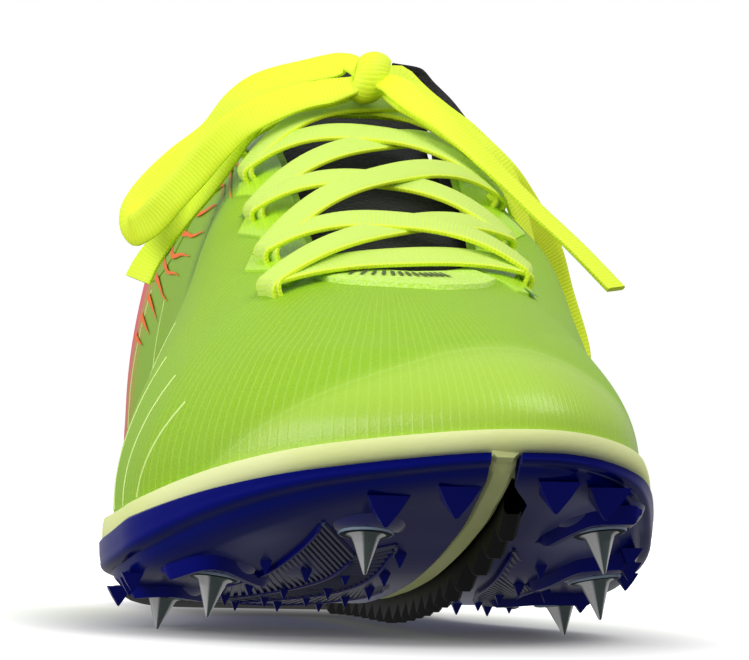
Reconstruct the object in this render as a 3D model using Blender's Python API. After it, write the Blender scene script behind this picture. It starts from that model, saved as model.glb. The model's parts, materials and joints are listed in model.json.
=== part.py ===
# A right track spike shoe: a hollow mesh upper on a pale foam midsole, a two-part ribbed
# sole plate with six steel spikes under the forefoot, and flat laces tied in a bow.
# Metres, +Z up, toe towards -Y, +X the inner (medial) side. The origin is the middle of the
# flat spot under the heel.
import math

import bmesh
import bpy
import numpy as np
from mathutils import Matrix, Vector

# Named sizes
LENGTH = 0.275
BALL_WIDTH = 0.098
# The shoe that the tables of places under the toe are drawn for
TABLE_LENGTH = 0.275
TABLE_WIDTH = 0.098
HEEL_BACK_Y = 0.034
GAP = 0.0003
WALL = 0.0015
LIP_INSET = 0.0020
SPIKE_LENGTH = 0.0074
SPIKE_RADIUS = 0.0027
SEAT_RADIUS = 0.0068
SEAT_HEIGHT = 0.0042
SEAT_FLARE = 0.0016
SEAT_TAPER = 0.0012
PIN_COLLAR = 0.0036
LACE_WIDTH = 0.0066
LACE_THICKNESS = 0.0011
CHANNEL_WIDTH = 0.0050
STRIP_WIDTH = 0.0032
STRIP_PITCH = 0.0060
STRIP_TOOTH = 0.0032
STRIP_ROOT = 0.0010
RIDGE_ROOT = 0.0009
BED_THICKNESS = 0.0030
EYESTAY_THICKNESS = 0.0008
BAND_THICKNESS = 0.0007
CUFF_THICKNESS = 0.0012
CUFF_GAP = 0.0005
LACE_GAP = 0.0006
OVERLAY_TOP = 0.985
CUFF_FOOT = 0.885
PLATE_REAR = 0.395
STRIP_REAR = 0.400
STRIP_FRONT = 0.937
BAND_START = 0.866
CUFF_START = 0.440
ROOT_SHARE = 0.45
CUTTER_LOW = -0.01
CUTTER_HIGH = 0.06
LUG = (0.0022, 0.0026, 0.0021)
TOOTH = (0.0030, 0.0036, 0.0018)
WEDGE = (0.0060, 0.0060, 0.0028)
FIN = (0.0034, 0.0017)
RIB = (0.0012, 0.0007)
KNOT_RADII = (0.0034, 0.0042, 0.0052)
RISE_WAY = (0.0, -0.10, 0.995)
LACE_FACE = (0.0, -0.60, 0.80)
# How far a lace's middle stands off the wall at an eyelet
BAR_LIFT = 0.0022
OVER_LIFT = 0.0028
UNDER_LIFT = 0.0025
TOP_LIFT = 0.0036
HALF = 32
RING = 2 * HALF
STEPS = 8

# The sole's outline: share of the length from the heel, then the two edges as shares of the ball width
OUTLINE = (
    # share, lateral, medial
    (0.000, 0.000, 0.000),
    (0.012, -0.140, 0.120),
    (0.040, -0.240, 0.210),
    (0.100, -0.315, 0.280),
    (0.180, -0.340, 0.300),
    (0.300, -0.345, 0.280),
    (0.420, -0.370, 0.275),
    (0.540, -0.435, 0.325),
    (0.640, -0.500, 0.410),
    (0.725, -0.530, 0.455),
    (0.810, -0.500, 0.445),
    (0.880, -0.395, 0.415),
    (0.940, -0.235, 0.368),
    (0.980, -0.045, 0.290),
    (1.000, 0.160, 0.160),
)

# The foot's curved middle line, which the outline and the upper are measured from
MIDDLE = (
    # share, across in metres
    (0.000, -0.0015),
    (0.036, -0.0009),
    (0.127, 0.0011),
    (0.236, 0.0031),
    (0.345, 0.0046),
    (0.455, 0.0055),
    (0.564, 0.0053),
    (0.727, 0.0032),
    (1.000, -0.0004),
)

# Heights in the sole: share of the length, plate underside, foam underside, foam edge, foot bed
LEVELS = (
    # share, under, foam, edge, bed
    (0.00, 0.0052, 0.0085, 0.0290, 0.0215),
    (0.03, 0.0012, 0.0052, 0.0275, 0.0200),
    (0.06, 0.0000, 0.0040, 0.0265, 0.0190),
    (0.20, 0.0000, 0.0040, 0.0245, 0.0175),
    (0.28, 0.0012, 0.0050, 0.0235, 0.0170),
    (0.38, 0.0042, 0.0085, 0.0225, 0.0168),
    (0.50, 0.0046, 0.0108, 0.0212, 0.0160),
    (0.60, 0.0044, 0.0116, 0.0204, 0.0155),
    (0.70, 0.0062, 0.0132, 0.0200, 0.0166),
    (0.76, 0.0080, 0.0148, 0.0208, 0.0180),
    (0.82, 0.0108, 0.0180, 0.0233, 0.0209),
    (0.88, 0.0168, 0.0233, 0.0280, 0.0260),
    (0.94, 0.0232, 0.0283, 0.0326, 0.0309),
    (1.00, 0.0286, 0.0325, 0.0364, 0.0351),
)

# The upper's top edge, for points round its lower edge: where it lies along the foot, its two sides
# as shares of the ball width and its height, then how the wall bulges and closes in
UPPER = (
    # share, top share, lateral, medial, height, belly, rise, spread, drop
    (0.000, 0.040, 0.000, 0.000, 0.0870, 0.0030, 0.36, 0.0030, 0.30),
    (0.012, 0.044, -0.105, 0.095, 0.0865, 0.0030, 0.36, 0.0030, 0.30),
    (0.040, 0.060, -0.190, 0.170, 0.0842, 0.0030, 0.36, 0.0035, 0.30),
    (0.100, 0.112, -0.250, 0.225, 0.0790, 0.0025, 0.36, 0.0040, 0.28),
    (0.180, 0.187, -0.272, 0.248, 0.0750, 0.0020, 0.36, 0.0045, 0.26),
    (0.280, 0.275, -0.272, 0.258, 0.0785, 0.0015, 0.38, 0.0050, 0.24),
    (0.370, 0.355, -0.240, 0.245, 0.0895, 0.0010, 0.40, 0.0065, 0.20),
    (0.450, 0.425, -0.165, 0.200, 0.0985, 0.0010, 0.40, 0.0110, 0.12),
    (0.540, 0.500, -0.155, 0.186, 0.0915, 0.0010, 0.42, 0.0150, 0.09),
    (0.620, 0.570, -0.152, 0.176, 0.0832, 0.0012, 0.42, 0.0170, 0.08),
    (0.700, 0.635, -0.148, 0.168, 0.0755, 0.0012, 0.40, 0.0190, 0.08),
    (0.780, 0.690, -0.142, 0.156, 0.0696, 0.0012, 0.40, 0.0200, 0.10),
    (0.860, 0.724, -0.110, 0.128, 0.0664, 0.0012, 0.38, 0.0240, 0.13),
    (0.930, 0.738, -0.050, 0.078, 0.0652, 0.0012, 0.38, 0.0300, 0.16),
    (1.000, 0.742, 0.018, 0.018, 0.0648, 0.0012, 0.38, 0.0330, 0.18),
)

# The channel between the plate's halves: share of the length, place across as a share of the ball width
CHANNEL = (
    # share, across
    (0.34, 0.010),
    (0.48, 0.035),
    (0.60, 0.050),
    (0.66, 0.059),
    (0.74, 0.063),
    (0.82, 0.072),
    (0.87, 0.094),
    (0.92, 0.107),
    (1.02, 0.104),
)

# Eyelets from the toe up: on each side, share of the length and share up the wall
EYELETS = (
    # lateral share, lateral up, medial share, medial up
    (0.838, 0.800, 0.798, 0.880),
    (0.757, 0.858, 0.713, 0.890),
    (0.640, 0.855, 0.612, 0.875),
    (0.549, 0.869, 0.537, 0.880),
    (0.481, 0.885, 0.490, 0.890),
)

# How far the laces arch over the tongue, from the toe up, in metres
BAR_RISE = 0.0052
TOP_RISE = 0.0064
CROSSING_RISES = (
    # over, under
    (0.0100, 0.0086),
    (0.0110, 0.0096),
    (0.0110, 0.0096),
    (0.0108, 0.0094),
)

# The eyestay's saw-toothed outer edge: share of the length and share up the wall
EYESTAY = (
    # share, up
    (0.462, 0.800),
    (0.506, 0.838),
    (0.550, 0.766),
    (0.597, 0.850),
    (0.640, 0.752),
    (0.690, 0.835),
    (0.744, 0.752),
    (0.784, 0.815),
    (0.815, 0.745),
    (0.858, 0.800),
)

# Spikes: name, x and y of the base as distances from the toe tip, tilts outwards and forwards (degrees)
SPIKES = (
    # name, x, behind the toe, out, forward
    ("lateral_front", -0.0085, 0.0275, 2.0, 12.0),
    ("lateral_middle", -0.0316, 0.0498, 8.0, 8.0),
    ("lateral_rear", -0.0375, 0.0756, 9.0, 0.0),
    ("medial_front", 0.0312, 0.0254, 6.0, 12.0),
    ("medial_middle", 0.0352, 0.0470, 8.0, 8.0),
    ("medial_rear", 0.0356, 0.0782, 9.0, 0.0),
)

# Small pyramids under the plate: x, distance behind the toe tip (metres)
LATERAL_LUGS = (
    (-0.0234, 0.0430), (-0.0158, 0.0470), (-0.0087, 0.0484), (-0.0018, 0.0486), (-0.0007, 0.0388),
    (-0.0240, 0.0600), (-0.0172, 0.0646), (-0.0094, 0.0640), (-0.0020, 0.0640), (-0.0260, 0.0790),
    (-0.0185, 0.0810), (-0.0110, 0.0800), (-0.0040, 0.0790), (-0.0220, 0.0960), (-0.0140, 0.0970),
    (-0.0065, 0.0950),
)
MEDIAL_LUGS = (
    (0.0247, 0.0428), (0.0235, 0.0560), (0.0225, 0.0690), (0.0300, 0.0640), (0.0215, 0.0840),
    (0.0285, 0.0900), (0.0200, 0.0980), (0.0270, 0.1040),
)
# Teeth along the plate's outer edge: x, distance behind the toe tip
LATERAL_TEETH = ((-0.0448, 0.0590), (-0.0445, 0.0660), (-0.0448, 0.0850), (-0.0440, 0.0920))
MEDIAL_TEETH = ((0.0392, 0.0370), (0.0405, 0.0435), (0.0415, 0.0500), (0.0420, 0.0900))
# Wedges that hang from the front of the rim: x, distance behind the toe tip
LATERAL_WEDGES = ((0.0040, 0.0110), (-0.0070, 0.0160))
MEDIAL_WEDGES = ((0.0200, 0.0075), (0.0290, 0.0100))
# Fins beside the spikes, each a rail through three places: x, distance behind the toe tip
LATERAL_FINS = (
    ((-0.0405, 0.0500), (-0.0325, 0.0420), (-0.0205, 0.0560)),
    ((-0.0440, 0.0730), (-0.0375, 0.0685), (-0.0290, 0.0790)),
)
MEDIAL_FINS = (
    ((0.0215, 0.0320), (0.0300, 0.0190), (0.0370, 0.0185)),
    ((0.0245, 0.0560), (0.0320, 0.0400), (0.0400, 0.0385)),
    ((0.0225, 0.0820), (0.0320, 0.0715), (0.0410, 0.0715)),
)
# Long curved ribs, each a rail through its places: x, distance behind the toe tip
LATERAL_RIBS = (
    ((-0.0160, 0.0240), (-0.0180, 0.0340), (-0.0210, 0.0430), (-0.0250, 0.0530), (-0.0290, 0.0640)),
    ((-0.0085, 0.0380), (-0.0110, 0.0480), (-0.0150, 0.0600), (-0.0210, 0.0740), (-0.0290, 0.0900)),
    ((-0.0020, 0.0330), (-0.0035, 0.0470), (-0.0065, 0.0640), (-0.0130, 0.0810), (-0.0240, 0.1010)),
    ((0.0010, 0.0600), (-0.0010, 0.0760), (-0.0060, 0.0920), (-0.0140, 0.1070), (-0.0210, 0.1160)),
)
MEDIAL_RIBS = (
    ((0.0185, 0.0340), (0.0180, 0.0480), (0.0180, 0.0620), (0.0200, 0.0780), (0.0250, 0.0960)),
    ((0.0275, 0.0560), (0.0262, 0.0670), (0.0270, 0.0780), (0.0310, 0.0950), (0.0320, 0.1080)),
)

# The tongue: share of the length, height of its edge line, half width (metres)
TONGUE = (
    # share, height, half width
    (0.372, 0.1165, 0.0160),
    (0.385, 0.1130, 0.0168),
    (0.410, 0.1045, 0.0152),
    (0.440, 0.0974, 0.0158),
    (0.500, 0.0912, 0.0192),
    (0.570, 0.0829, 0.0210),
    (0.635, 0.0752, 0.0205),
    (0.690, 0.0693, 0.0198),
    (0.724, 0.0661, 0.0190),
    (0.745, 0.0640, 0.0175),
    (0.775, 0.0598, 0.0150),
)

# Where the bow's strands run, and the way that their faces look: turned towards +X and tipped up
KNOT = (0.0069, 0.1340, 0.1067)
STRANDS = (
    # x, distance behind the toe tip, height in metres, then turned and tipped in degrees
    ("lace_loop_lateral", (
        (0.0036, 0.1390, 0.1101, 0, 35),
        (-0.0057, 0.1425, 0.1083, 0, 40),
        (-0.0129, 0.1445, 0.1061, -10, 40),
        (-0.0175, 0.1458, 0.1024, -15, 30),
        (-0.0219, 0.1482, 0.0963, -15, 25),
        (-0.0288, 0.1500, 0.0904, -15, 20),
        (-0.0350, 0.1498, 0.0838, -20, 15),
        (-0.0385, 0.1478, 0.0780, -60, -10),
        (-0.0379, 0.1450, 0.0762, -60, -20),
        (-0.0353, 0.1420, 0.0777, -10, 5),
        (-0.0313, 0.1390, 0.0824, 0, 20),
        (-0.0266, 0.1370, 0.0879, 0, 20),
        (-0.0225, 0.1352, 0.0930, 0, 20),
        (-0.0184, 0.1342, 0.0970, 0, 25),
        (-0.0131, 0.1332, 0.0998, 0, 35),
        (-0.0062, 0.1322, 0.1025, 0, 40),
        (0.0025, 0.1320, 0.1048, 0, 35),
    )),
    ("lace_end_lateral", (
        (0.0033, 0.1345, 0.1045, 0, 30),
        (-0.0066, 0.1350, 0.1026, 0, 30),
        (-0.0137, 0.1380, 0.1002, -10, 25),
        (-0.0177, 0.1402, 0.0960, -15, 20),
        (-0.0208, 0.1425, 0.0909, -25, 15),
        (-0.0239, 0.1462, 0.0853, -45, 15),
        (-0.0272, 0.1510, 0.0802, -60, 15),
        (-0.0311, 0.1530, 0.0750, -55, 15),
        (-0.0343, 0.1540, 0.0701, -45, 15),
        (-0.0358, 0.1540, 0.0669, -40, 15),
    )),
    ("lace_loop_medial", (
        (0.0129, 0.1365, 0.1078, 0, 30),
        (0.0150, 0.1357, 0.1054, 5, 30),
        (0.0198, 0.1318, 0.1005, 10, 22),
        (0.0255, 0.1280, 0.0954, 10, 18),
        (0.0328, 0.1280, 0.0886, 10, 12),
        (0.0395, 0.1330, 0.0811, 10, 10),
        (0.0444, 0.1385, 0.0740, 10, 8),
        (0.0477, 0.1420, 0.0651, 10, 5),
        (0.0510, 0.1430, 0.0558, 15, 0),
        (0.0523, 0.1400, 0.0500, 60, -20),
        (0.0504, 0.1375, 0.0487, 80, -20),
        (0.0468, 0.1345, 0.0540, 75, 0),
        (0.0427, 0.1310, 0.0625, 65, 5),
        (0.0390, 0.1265, 0.0712, 60, 8),
        (0.0358, 0.1230, 0.0787, 50, 12),
        (0.0330, 0.1215, 0.0855, 35, 18),
        (0.0287, 0.1217, 0.0911, 20, 25),
        (0.0231, 0.1240, 0.0956, 10, 30),
        (0.0171, 0.1285, 0.1003, 5, 35),
        (0.0115, 0.1324, 0.1038, 0, 35),
    )),
    ("lace_end_medial", (
        (0.0105, 0.1290, 0.1054, 0, 30),
        (0.0144, 0.1245, 0.1017, 5, 35),
        (0.0194, 0.1200, 0.0974, 15, 40),
        (0.0251, 0.1168, 0.0919, 30, 45),
        (0.0311, 0.1140, 0.0857, 50, 45),
        (0.0371, 0.1110, 0.0795, 62, 42),
        (0.0433, 0.1070, 0.0731, 65, 42),
        (0.0503, 0.1020, 0.0650, 65, 42),
    )),
)


def column(table, index):
    return np.array([row[index] for row in table], float)


def smooth(xs, ys, at):
    """A curve through a table's points: a cubic between neighbours, level at a peak or a flat."""
    xs = np.asarray(xs, float)
    ys = np.asarray(ys, float)
    steps = np.diff(xs)
    rises = np.diff(ys) / steps
    slopes = np.empty_like(ys)
    product = rises[:-1] * rises[1:]
    total = np.where(product > 0, rises[:-1] + rises[1:], 1.0)
    slopes[1:-1] = np.where(product > 0, 2 * product / total, 0.0)
    slopes[0] = rises[0]
    slopes[-1] = rises[-1]
    at = np.clip(np.asarray(at, float), xs[0], xs[-1])
    i = np.clip(np.searchsorted(xs, at) - 1, 0, len(steps) - 1)
    t = (at - xs[i]) / steps[i]
    h = steps[i]
    first = (1 + 2 * t) * (1 - t) ** 2 * ys[i] + t * (1 - t) ** 2 * h * slopes[i]
    second = t * t * (3 - 2 * t) * ys[i + 1] - t * t * (1 - t) * h * slopes[i + 1]
    return first + second


def turn(share):
    """The angle from the heel (0) to the toe (pi) of a share of the length."""
    return np.arccos(np.clip(1 - 2 * np.asarray(share, float), -1, 1))


def foot_y(share):
    return HEEL_BACK_Y - LENGTH * np.asarray(share, float)


def level(name, y):
    """A height in the sole at a place along the foot."""
    index = ("share", "under", "foam", "edge", "bed").index(name)
    share = (HEEL_BACK_Y - np.asarray(y, float)) / LENGTH
    return smooth(column(LEVELS, 0), column(LEVELS, index), share)


def middle_x(y):
    """Where the foot's curved middle line lies, at a place along it."""
    share = (HEEL_BACK_Y - np.asarray(y, float)) / LENGTH
    return smooth(column(MIDDLE, 0), column(MIDDLE, 1), share)


def ring_angles():
    return np.linspace(0, math.pi, HALF + 1)


def round_trip(lateral, medial):
    """Values for a ring: heel, lateral side, toe, medial side."""
    return np.concatenate([lateral, medial[1:-1][::-1]])


def outline(inset):
    """The sole's outline, moved inwards, as a ring of points."""
    at = ring_angles()
    keys = turn(column(OUTLINE, 0))
    lateral = smooth(keys, column(OUTLINE, 1), at) * BALL_WIDTH
    medial = smooth(keys, column(OUTLINE, 2), at) * BALL_WIDTH
    y = foot_y((1 - np.cos(at)) / 2)
    side = round_trip(lateral, medial) + middle_x(round_trip(y, y))
    points = np.stack([side, round_trip(y, y)], axis=1)
    return points - inset * outward(points)


def outward(points):
    """Unit normals of a closed ring that runs anticlockwise."""
    along = np.roll(points, -1, axis=0) - np.roll(points, 1, axis=0)
    normals = np.stack([along[:, 1], -along[:, 0]], axis=1)
    return normals / np.linalg.norm(normals, axis=1)[:, None]


def raised(points, heights):
    return np.column_stack([points, heights])


def new_object(name, points, faces, material, collection):
    mesh = bpy.data.meshes.new(name)
    mesh.from_pydata([tuple(p) for p in points], [], faces)
    mesh.materials.append(material)
    made = bpy.data.objects.new(name, mesh)
    collection.objects.link(made)
    tidy_normals(made)
    return made


def tidy_normals(made):
    shape = bmesh.new()
    shape.from_mesh(made.data)
    bmesh.ops.recalc_face_normals(shape, faces=shape.faces)
    shape.to_mesh(made.data)
    shape.free()


def cap_faces(ring_start, inner_start, columns, flipped):
    """Faces across a ring, between rungs from its lateral to its medial side."""
    rows = [[ring_start]]
    for k in range(1, HALF):
        inner = inner_start + (k - 1) * columns
        rows.append([ring_start + k, *range(inner, inner + columns), ring_start + RING - k])
    rows.append([ring_start + HALF])
    faces = []
    for a, b in zip(rows[:-1], rows[1:]):
        if len(a) == 1:
            faces += [(a[0], b[j], b[j + 1]) for j in range(len(b) - 1)]
        elif len(b) == 1:
            faces += [(a[j], b[0], a[j + 1]) for j in range(len(a) - 1)]
        else:
            faces += [(a[j], b[j], b[j + 1], a[j + 1]) for j in range(len(a) - 1)]
    return [face[::-1] for face in faces] if flipped else faces


def across(ring, columns, height):
    """Points between the sides of a ring, at a height that depends on the place."""
    shares = np.arange(1, columns + 1) / (columns + 1)
    left = ring[1:HALF, None, :2]
    right = ring[:HALF:-1, None, :2]
    flat = (left + (right - left) * shares[None, :, None]).reshape(-1, 2)
    return raised(flat, height(flat))


def stacked(name, rings, columns, under, over, material, collection):
    """A solid from rings one above the other, closed below and above."""
    points = [*rings, across(rings[0], columns, under), across(rings[-1], columns, over)]
    inner = RING * len(rings)
    faces = cap_faces(0, inner, columns, True)
    faces += cap_faces(RING * (len(rings) - 1), inner + (HALF - 1) * columns, columns, False)
    for j in range(len(rings) - 1):
        for k in range(RING):
            a = j * RING + k
            b = j * RING + (k + 1) % RING
            faces.append((a, b, b + RING, a + RING))
    return new_object(name, np.concatenate(points), faces, material, collection)


def upper_edges():
    """The upper's lower edge, its top edge and its two inner handles, as rings of points."""
    flat = outline(LIP_INSET)
    foot = raised(flat, level("edge", flat[:, 1]) + GAP)
    at = ring_angles()
    keys = turn(column(UPPER, 0))

    def both(index):
        values = smooth(keys, column(UPPER, index), at)
        return round_trip(values, values)

    side = round_trip(
        smooth(keys, column(UPPER, 2), at) * BALL_WIDTH,
        smooth(keys, column(UPPER, 3), at) * BALL_WIDTH,
    )
    back = foot_y(both(1))
    top = np.stack([side + middle_x(back), back, both(4)], axis=1)
    tall = (top - foot)[:, 2]
    out = outward(flat)
    away = foot[:, :2] - top[:, :2]
    away /= np.maximum(np.linalg.norm(away, axis=1), 1e-9)[:, None]
    near_heel = np.clip((top[:, 1] - foot_y(0.30)) / (0.2 * LENGTH), 0, 1)[:, None]
    away = away * (1 - near_heel) + out * near_heel
    low = foot + raised(out * both(5)[:, None], both(6) * tall)
    high = top + raised(away * both(7)[:, None], -both(8) * tall)
    return foot, low, high, top


def upper_points(shares):
    """The outer face of the upper: one ring for each share of the way up."""
    foot, low, high, top = upper_edges()
    t = np.asarray(shares, float)[:, None, None]
    return (
        (1 - t) ** 3 * foot + 3 * t * (1 - t) ** 2 * low + 3 * t * t * (1 - t) * high + t ** 3 * top
    )


def upper_normals(grid):
    """Unit outward normals of a grid of rings."""
    around = np.roll(grid, -1, axis=1) - np.roll(grid, 1, axis=1)
    upwards = np.gradient(grid, axis=0)
    normals = np.cross(around, upwards)
    return normals / np.maximum(np.linalg.norm(normals, axis=2), 1e-12)[:, :, None]


def upper_surface(rows, lift):
    """The upper's face, moved outwards, on a grid of rings."""
    grid = upper_points(np.linspace(0, 1, rows))
    return grid + lift * upper_normals(grid)


def at_place(grid, around, up):
    """Points of a ring grid at fractional places round (in ring steps) and up (0 to 1)."""
    around = np.mod(np.asarray(around, float), RING)
    up = np.clip(np.asarray(up, float), 0, 1) * (len(grid) - 1)
    k = np.floor(around).astype(int) % RING
    j = np.minimum(np.floor(up).astype(int), len(grid) - 2)
    s = (around - np.floor(around))[..., None]
    t = (up - j)[..., None]
    near = grid[j, k] * (1 - s) + grid[j, (k + 1) % RING] * s
    far = grid[j + 1, k] * (1 - s) + grid[j + 1, (k + 1) % RING] * s
    return near * (1 - t) + far * t


def make_upper(material, collection):
    outer = upper_surface(STEPS + 1, 0.0)
    inner = upper_surface(STEPS + 1, -WALL)
    inner[0, :, 2] = outer[0, :, 2]
    points = np.concatenate([outer.reshape(-1, 3), inner.reshape(-1, 3)])
    skip = (STEPS + 1) * RING
    faces = []
    for k in range(RING):
        n = (k + 1) % RING
        for j in range(STEPS):
            a, b = j * RING + k, j * RING + n
            faces.append((a, b, b + RING, a + RING))
            faces.append((skip + a, skip + a + RING, skip + b + RING, skip + b))
        last = STEPS * RING
        faces.append((k, skip + k, skip + n, n))
        faces.append((last + k, last + n, skip + last + n, skip + last + k))
    return new_object("upper", points, faces, material, collection)


def patch(name, low, high, material, collection):
    """A closed sheet between two grids of the same shape."""
    rows, columns = low.shape[:2]
    points = np.concatenate([low.reshape(-1, 3), high.reshape(-1, 3)])
    skip = rows * columns
    faces = []
    for i in range(rows - 1):
        for j in range(columns - 1):
            a = i * columns + j
            faces.append((a, a + columns, a + columns + 1, a + 1))
            faces.append((skip + a, skip + a + 1, skip + a + columns + 1, skip + a + columns))
    edge = [i * columns for i in range(rows)]
    edge += [(rows - 1) * columns + j for j in range(1, columns)]
    edge += [i * columns + columns - 1 for i in range(rows - 2, -1, -1)]
    edge += [j for j in range(columns - 2, 0, -1)]
    for a, b in zip(edge, edge[1:] + edge[:1]):
        faces.append((a, skip + a, skip + b, b))
    return new_object(name, points, faces, material, collection)


def make_midsole(material, collection):
    rings = []
    for inset, where, extra in (
        (0.0045, "foam", 0.0000),
        (0.0012, "foam", 0.0006),
        (0.0000, "edge", -0.0036),
        (0.0003, "edge", -0.0010),
        (0.0010, "edge", 0.0000),
        (0.0050, "edge", 0.0000),
        (0.0058, "bed", 0.0000),
    ):
        flat = outline(inset)
        rings.append(raised(flat, level(where, flat[:, 1]) + extra))
    return stacked(
        "midsole",
        rings,
        1,
        lambda flat: level("foam", flat[:, 1]),
        lambda flat: level("bed", flat[:, 1]),
        material,
        collection,
    )


def add_channel_ridge(midsole, material, tools):
    """The foam that fills the channel, almost down to the plate's underside."""
    ys = np.linspace(float(foot_y(0.9985)), float(foot_y(0.405)), 25)
    left = channel_edge(ys, -1) + GAP
    right = left + CHANNEL_WIDTH - 2 * GAP
    low = level("under", ys) + RIDGE_ROOT
    high = level("foam", ys) + RIDGE_ROOT
    rows = [
        np.column_stack([left, ys, high]),
        np.column_stack([right, ys, high]),
        np.column_stack([right, ys, low]),
        np.column_stack([left, ys, low]),
    ]
    points = np.stack(rows, axis=1).reshape(-1, 3)
    return boolean(midsole, joined("ridge", [(points, bar_faces(len(ys)))], material, tools), "UNION")


def bar_faces(count):
    """The faces of a bar with four points at each place along it."""
    faces = [(0, 1, 2, 3), tuple(4 * (count - 1) + i for i in (3, 2, 1, 0))]
    for i in range(count - 1):
        for j in range(4):
            a, b = 4 * i + j, 4 * i + (j + 1) % 4
            faces.append((a, a + 4, b + 4, b))
    return faces


def make_insole(material, collection):
    rings = []
    for inset, extra in ((0.0064, GAP), (0.0062, 0.0012), (0.0068, BED_THICKNESS)):
        flat = outline(inset)
        rings.append(raised(flat, level("bed", flat[:, 1]) + extra))
    return stacked(
        "insole",
        rings,
        1,
        lambda flat: level("bed", flat[:, 1]) + GAP,
        lambda flat: level("bed", flat[:, 1]) + BED_THICKNESS,
        material,
        collection,
    )


def plate_blank(name, material, collection):
    """A thick skin under the whole foam, with a stepped rim round it."""
    rings = []
    for inset, share in (
        (0.0150, 0.00),
        (0.0072, 0.04),
        (0.0030, 0.26),
        (0.0018, 0.50),
        (0.0007, 0.55),
        (-0.0002, 0.72),
        (0.0000, 0.94),
        (0.0012, 1.00),
    ):
        flat = outline(inset)
        rings.append(raised(flat, skin_height(flat, share)))
    return stacked(
        name,
        rings,
        1,
        lambda flat: skin_height(flat, 0.0),
        lambda flat: skin_height(flat, 1.0),
        material,
        collection,
    )


def skin_height(flat, share):
    """A height between the sole's underside and the foam, as a share of the way up."""
    low = level("under", flat[:, 1])
    high = level("foam", flat[:, 1]) - GAP
    return low + share * (high - low)


def channel_x(y):
    share = (HEEL_BACK_Y - np.asarray(y, float)) / LENGTH
    return smooth(column(CHANNEL, 0), column(CHANNEL, 1), share) * BALL_WIDTH


def channel_edge(y, side):
    """The edge of the gap between the plate's halves: it widens on the inner side for the strip."""
    behind = np.asarray(y, float) - foot_y(1.0)
    widened = np.clip((behind - 0.007) / 0.008, 0, 1) * (STRIP_WIDTH + 2 * GAP)
    return channel_x(y) + side * CHANNEL_WIDTH / 2 + (widened if side > 0 else 0.0)


def prism(name, corners, low, high, material, collection):
    """An upright solid over a flat outline."""
    count = len(corners)
    points = [(x, y, low) for x, y in corners] + [(x, y, high) for x, y in corners]
    faces = [tuple(range(count))[::-1], tuple(range(count, 2 * count))]
    faces += [(i, (i + 1) % count, count + (i + 1) % count, count + i) for i in range(count)]
    return new_object(name, points, faces, material, collection)


def boolean(made, tool, operation):
    """Apply an exact Boolean with a tool, and remove the tool."""
    change = made.modifiers.new(operation.lower(), "BOOLEAN")
    change.operation = operation
    change.solver = "EXACT"
    change.object = tool
    bpy.context.view_layer.update()
    shaped = made.evaluated_get(bpy.context.evaluated_depsgraph_get())
    mesh = bpy.data.meshes.new_from_object(shaped)
    made.modifiers.remove(change)
    made.data = mesh
    bpy.data.objects.remove(tool, do_unlink=True)
    return made


def plate_side(name, side, blank, material, collection, tools):
    """One half of the sole plate, cut from the blank beside the channel."""
    front = float(foot_y(1.03))
    rear = float(foot_y(PLATE_REAR))
    ys = np.linspace(front, rear, 25)
    edge = channel_edge(ys, side)
    corners = [(float(x), float(y)) for x, y in zip(edge, ys)]
    corners += [(side * BALL_WIDTH, rear), (side * BALL_WIDTH, front)]
    cutter = prism(name + "_cutter", corners, CUTTER_LOW, CUTTER_HIGH, material, tools)
    half = bpy.data.objects.new(name, blank.data.copy())
    collection.objects.link(half)
    boolean(half, cutter, "INTERSECT")
    return half


def joined(name, shapes, material, collection):
    """One mesh from several point and face lists."""
    points = []
    faces = []
    for shape_points, shape_faces in shapes:
        start = len(points)
        points += [tuple(p) for p in shape_points]
        faces += [tuple(start + i for i in face) for face in shape_faces]
    return new_object(name, points, faces, material, collection)


def tapered(base, tip, base_radius, tip_radius, sides, phase=0.0):
    """A cone frustum between two points, as points and faces."""
    base = Vector(base)
    tip = Vector(tip)
    turned = (tip - base).to_track_quat("Z", "Y").to_matrix()
    points = []
    for centre, radius in ((base, base_radius), (tip, tip_radius)):
        for i in range(sides):
            angle = phase + 2 * math.pi * i / sides
            points.append(centre + turned @ Vector((radius * math.cos(angle), radius * math.sin(angle), 0)))
    faces = [tuple(range(sides))[::-1], tuple(range(sides, 2 * sides))]
    faces += [(i, (i + 1) % sides, sides + (i + 1) % sides, sides + i) for i in range(sides)]
    return points, faces


def at_toe(x, behind):
    """A flat point from its distance behind the toe tip, in the tables' sizes."""
    return x * BALL_WIDTH / TABLE_WIDTH, float(foot_y(1.0)) + behind * LENGTH / TABLE_LENGTH


def lug(x, behind, width, length, height):
    """A small pyramid under the plate."""
    px, py = at_toe(x, behind)
    z = float(level("under", py))
    root = float(skin_height(np.array([[px, py]]), ROOT_SHARE)[0])
    points = [
        (px - width / 2, py - length / 2, root),
        (px + width / 2, py - length / 2, root),
        (px + width / 2, py + length / 2, root),
        (px - width / 2, py + length / 2, root),
        (px, py, z - height),
    ]
    return points, [(0, 1, 2, 3), (0, 4, 1), (1, 4, 2), (2, 4, 3), (3, 4, 0)]


def rail(places, width, height):
    """A ridge that follows the plate's underside through flat places."""
    flat = np.array([at_toe(*place) for place in places])
    along = np.gradient(flat, axis=0)
    along /= np.linalg.norm(along, axis=1)[:, None]
    side = np.stack([-along[:, 1], along[:, 0]], axis=1) * width / 2
    z = level("under", flat[:, 1])
    root = skin_height(flat, ROOT_SHARE)
    rows = [
        raised(flat - side, root),
        raised(flat + side, root),
        raised(flat + side * 0.4, z - height),
        raised(flat - side * 0.4, z - height),
    ]
    points = np.stack(rows, axis=1).reshape(-1, 3)
    return points, bar_faces(len(flat))


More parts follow.
